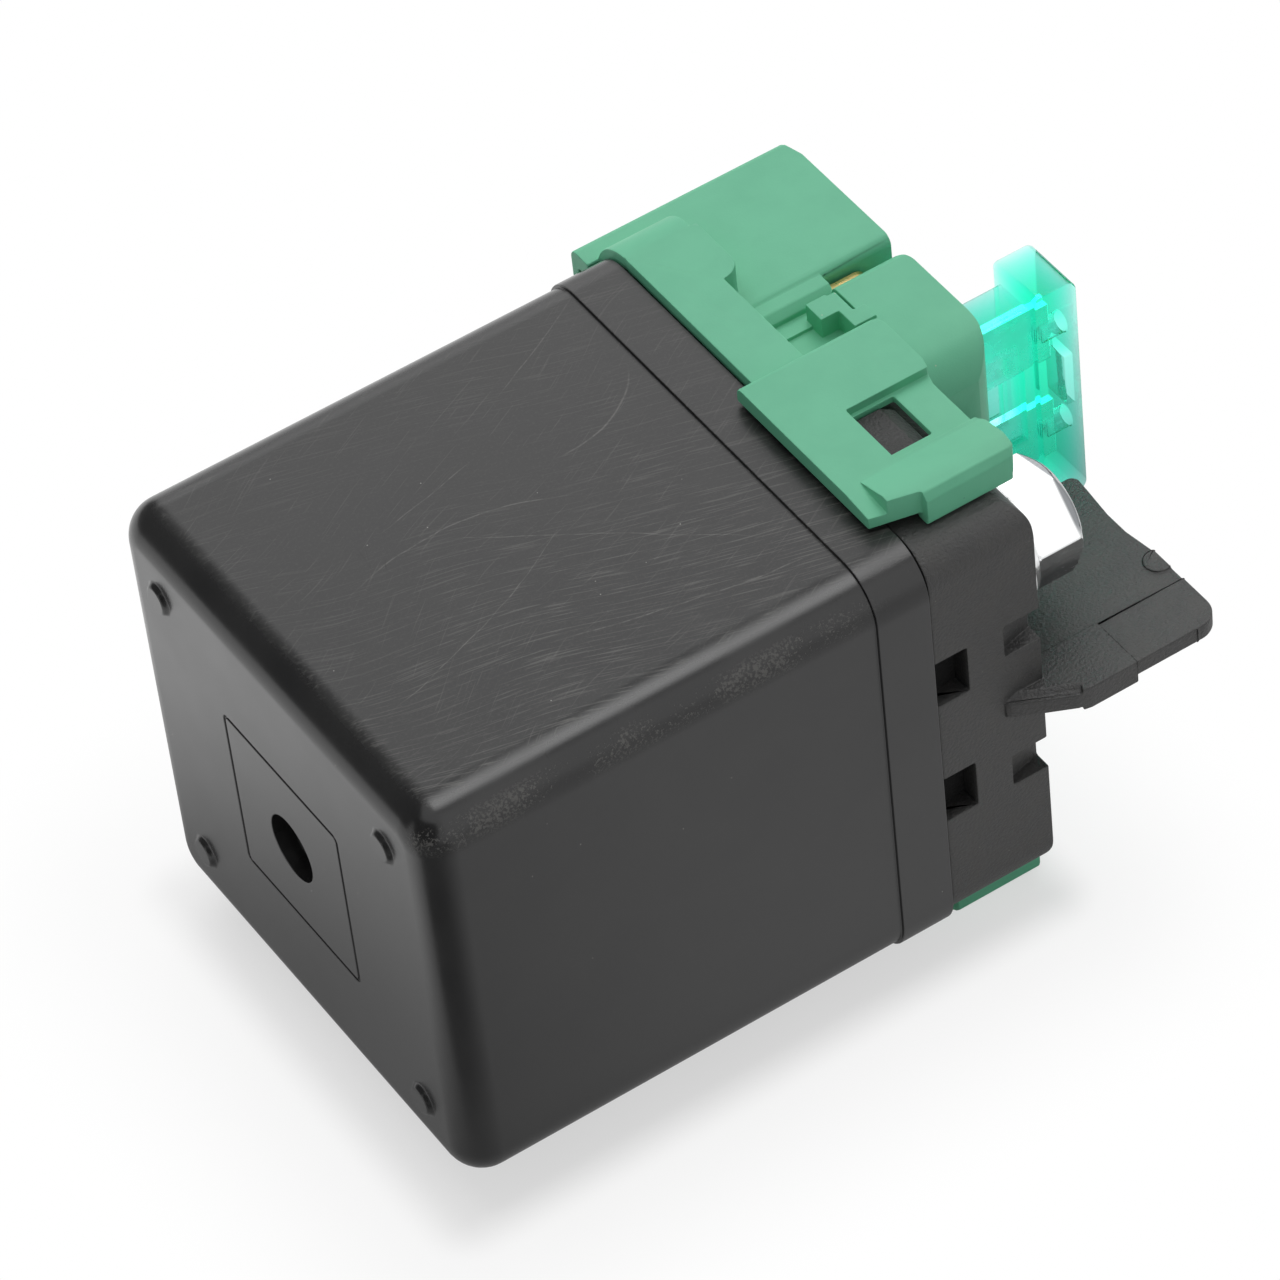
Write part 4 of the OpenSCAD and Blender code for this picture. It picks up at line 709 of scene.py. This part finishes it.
# The floor's shadow is round a box under the relay: its middle, half its sides, and how far beside it the
# paper goes over to white, close to the relay and farther out
SHADOW_X = -0.009
SHADOW_HALF_X, SHADOW_HALF_Y = 0.0245, 0.0192
DEEP_SHADE, SOFT_SHADE = (0.0, 0.0045), (0.001, 0.020)

# How white the paper is where the shadow is deepest, and what each of the two ranges adds to that
DARKEST_PAPER, DEEP_SHADE_ADDS, SOFT_SHADE_ADDS = 0.60, 0.26, 0.14

# What the relay's sides reflect of the floor: its brightness everywhere, how much more in front and far
# beside it, and the dark patch off the front left corner
MIRROR_BASE, MIRROR_FRONT, MIRROR_SIDE = 0.34, 0.50, 0.74
FRONT_FROM_Y, FRONT_ALONG_X, SIDE_AWAY = (-0.019, -0.026), (-0.060, 0.005), (0.036, 0.062)
DARK_PATCH, DARK_PATCH_EDGE, DARK_PATCH_LEVEL = (-0.056, -0.036, 0), (0.010, 0.034), 0.55


def floor_finish():
    """White paper that goes over into the white of the background, and keeps the relay's soft shadow."""
    material = bpy.data.materials.new("white_paper")
    tree = blank_tree(material)
    paper = add(tree, "ShaderNodeBsdfDiffuse", {"Color": (0.93, 0.93, 0.93, 1)})
    white = add(tree, "ShaderNodeEmission", {"Color": (1, 1, 1, 1), "Strength": 1.0})
    rays = tree.nodes.new("ShaderNodeLightPath").outputs
    seen = calc(tree, "MAXIMUM", rays["Is Camera Ray"], rays["Is Transmission Ray"])
    where = tree.nodes.new("ShaderNodeTexCoord").outputs["Object"]
    place = add(tree, "ShaderNodeSeparateXYZ", {0: where})
    x, y, _ = place.outputs
    off_x = calc(tree, "ABSOLUTE", calc(tree, "SUBTRACT", x, SHADOW_X))
    beside_x = calc(tree, "MAXIMUM", calc(tree, "SUBTRACT", off_x, SHADOW_HALF_X), 0.0)
    beside_y = calc(tree, "MAXIMUM", calc(tree, "SUBTRACT", calc(tree, "ABSOLUTE", y), SHADOW_HALF_Y), 0.0)
    apart = calc(tree, "SQRT", calc(tree, "MULTIPLY_ADD", beside_x, beside_x,
                                    calc(tree, "MULTIPLY", beside_y, beside_y)))
    near = calc(tree, "MULTIPLY_ADD", ramp(tree, apart, *DEEP_SHADE), DEEP_SHADE_ADDS, DARKEST_PAPER)
    near = calc(tree, "MULTIPLY_ADD", ramp(tree, apart, *SOFT_SHADE), SOFT_SHADE_ADDS, near)
    shown = add(tree, "ShaderNodeMixShader", {0: calc(tree, "MULTIPLY", seen, near),
                                              1: paper.outputs[0], 2: white.outputs[0]})
    away = add(tree, "ShaderNodeVectorMath", {0: where}, operation="LENGTH").outputs["Value"]
    in_front = ramp(tree, y, *FRONT_FROM_Y)
    front = calc(tree, "MULTIPLY", in_front,
                 calc(tree, "MULTIPLY", ramp(tree, x, *FRONT_ALONG_X), MIRROR_FRONT))
    side = calc(tree, "MULTIPLY", calc(tree, "SUBTRACT", 1.0, in_front),
                calc(tree, "MULTIPLY", ramp(tree, away, *SIDE_AWAY), MIRROR_SIDE))
    corner = add(tree, "ShaderNodeVectorMath", {0: where, 1: DARK_PATCH}, operation="DISTANCE")
    dip = calc(tree, "MULTIPLY_ADD", ramp(tree, corner.outputs["Value"], *DARK_PATCH_EDGE),
               1 - DARK_PATCH_LEVEL, DARK_PATCH_LEVEL)
    level = calc(tree, "MULTIPLY", calc(tree, "ADD", calc(tree, "ADD", front, side), MIRROR_BASE), dip)
    mirror = add(tree, "ShaderNodeEmission", {"Color": (1, 1, 1, 1), "Strength": level})
    show(tree, add(tree, "ShaderNodeMixShader", {0: rays["Is Glossy Ray"], 1: shown.outputs[0],
                                                 2: mirror.outputs[0]}))
    return material


# The floor is a hair lower than the relay's underside, so that the two faces don't mix
FLOOR_SIDE, FLOOR_BELOW = 6.0, 0.00002


def lay_floor():
    bpy.ops.object.select_all(action="DESELECT")
    bpy.ops.mesh.primitive_plane_add(size=FLOOR_SIDE, location=(0, 0, -FLOOR_BELOW))
    floor = bpy.context.object
    floor.name = "paper_floor"
    floor.data.materials.append(floor_finish())


# How bright the white room is to the camera and to mirrors, and how much of it lights the relay
ROOM_SEEN, ROOM_LIGHT = 1.0, 0.34


def light_studio():
    world = bpy.data.worlds.new("white_studio")
    bpy.context.scene.world = world
    tree = blank_tree(world)
    rays = tree.nodes.new("ShaderNodeLightPath").outputs
    seen = calc(tree, "MAXIMUM", rays["Is Camera Ray"],
                calc(tree, "MAXIMUM", rays["Is Glossy Ray"], rays["Is Transmission Ray"]))
    strength = add(tree, "ShaderNodeMapRange",
                   {"Value": seen, "To Min": ROOM_LIGHT, "To Max": ROOM_SEEN}).outputs["Result"]
    sky = add(tree, "ShaderNodeBackground", {"Color": (1, 1, 1, 1), "Strength": strength})
    show(tree, sky, "ShaderNodeOutputWorld")


# Lamps and cards aim at this point over the middle of the relay
AIM = Vector((0, 0, 0.02))


def softbox(name, direction, distance, size, radiance):
    """A lamp that lights the relay and that reflections don't see."""
    lamp = bpy.data.lights.new(name, "AREA")
    lamp.shape = "RECTANGLE"
    lamp.size, lamp.size_y = size
    lamp.energy = radiance * math.pi * size[0] * size[1]
    holder = bpy.data.objects.new(name, lamp)
    bpy.context.scene.collection.objects.link(holder)
    towards = Vector(direction).normalized()
    holder.location = towards * distance + AIM
    holder.rotation_euler = towards.to_track_quat("Z", "Y").to_euler()
    holder.visible_glossy = False


# Brightness at the rim of a card that fades out
CARD_RIM = 0.2


def card_beside(name, direction, distance, size, radiance, along=(1, 0, 0), soft=0.0):
    """A dark or shining card beside the set that only reflections see, as a photographer places one.
    The first of its sizes runs along that direction; soft is the share of its height over which it fades."""
    bpy.ops.object.select_all(action="DESELECT")
    towards = Vector(direction).normalized()
    first = (Vector(along) - towards * towards.dot(Vector(along))).normalized()
    turn = Matrix((first, towards.cross(first), towards)).transposed()
    bpy.ops.mesh.primitive_plane_add(size=1.0, location=towards * distance + AIM, rotation=turn.to_euler())
    card = bpy.context.object
    card.name = name
    card.scale = (size[0], size[1], 1)
    settle(card)
    material = bpy.data.materials.new(name + "_board")
    tree = blank_tree(material)
    where = tree.nodes.new("ShaderNodeTexCoord").outputs["Object"]
    height = add(tree, "ShaderNodeVectorMath", {0: where, 1: towards.cross(first)}, operation="DOT_PRODUCT")
    middle = towards.cross(first).dot(towards * distance + AIM)
    off = calc(tree, "ABSOLUTE", calc(tree, "SUBTRACT", height.outputs["Value"], middle))
    fade = ramp(tree, off, size[1] / 2, size[1] / 2 * (1 - soft) - 0.001)
    rim = CARD_RIM if soft else 0.0
    strength = calc(tree, "MULTIPLY_ADD", fade, radiance - rim, rim)
    show(tree, add(tree, "ShaderNodeEmission", {"Color": (1, 1, 1, 1), "Strength": strength}))
    card.data.materials.append(material)
    card.visible_camera = False
    card.visible_diffuse = False
    card.visible_transmission = False
    card.visible_shadow = False
    card.visible_volume_scatter = False


# The photo's camera, as solved from the relay's straight edges
CAMERA_AT = (-142.76, -316.63, 373.17)
CAMERA_RIGHT, CAMERA_FORWARD = (0.8312, -0.5496, -0.0838), (0.3324, 0.6122, -0.7175)
LENS_MM, SENSOR_MM = 207.2, 36


def place_camera():
    camera = bpy.data.cameras.new("camera")
    camera.lens = LENS_MM
    camera.sensor_width = SENSOR_MM
    camera.clip_start, camera.clip_end = 0.01, 20
    holder = bpy.data.objects.new("camera", camera)
    bpy.context.scene.collection.objects.link(holder)
    right = Vector(CAMERA_RIGHT).normalized()
    forward = Vector(CAMERA_FORWARD).normalized()
    up = right.cross(forward).normalized()
    right = forward.cross(up).normalized()
    turn = Matrix((right, up, -forward)).transposed().to_4x4()
    holder.matrix_world = Matrix.Translation(at(*CAMERA_AT)) @ turn
    bpy.context.scene.camera = holder


# Direction along x that the arch of cards leans to, where no other is given
ARCH_SIDE = 0.33


def arch_card(name, elevation, distance, size, radiance, side=ARCH_SIDE, soft=0.0):
    """A card on the arch that runs over the relay from the back (0 degrees) to the front (180)."""
    turn = math.radians(elevation)
    across = math.sqrt(1 - side * side)
    card_beside(name, (side, across * math.cos(turn), across * math.sin(turn)), distance, size, radiance,
                soft=soft)


lay_floor()
light_studio()
softbox("back_softbox", (0.33, 0.61, 0.72), 0.8, (0.62, 0.5), 1.35)
softbox("overhead_softbox", (0.10, 0.35, 0.93), 0.8, (0.8, 0.8), 1.4)
card_beside("left_card", (-0.50, 0.72, 0.52), 0.75, (1.5, 1.25), 0.18, along=(0.80, 0.60, 0))
card_beside("left_front_card", (-0.78, -0.50, 0.39), 0.7, (0.8, 0.6), 0.12, along=(-0.5, 0.8, 0))
card_beside("right_card", (0.80, 0.59, 0.10), 0.9, (0.5, 0.16), 0.02, along=(-0.6, 0.8, 0))
arch_card("back_panel", 38, 0.8, (0.60, 0.42), 2.0, side=0.42)
arch_card("back_gap", 61, 0.9, (1.2, 0.20), 0.05)
arch_card("overhead_panel", 91, 0.8, (0.70, 0.70), 4.4, side=0.36, soft=0.75)
arch_card("front_panel", 146, 0.8, (0.62, 0.64), 1.2)
place_camera()
bpy.context.scene.view_settings.view_transform = "Standard"
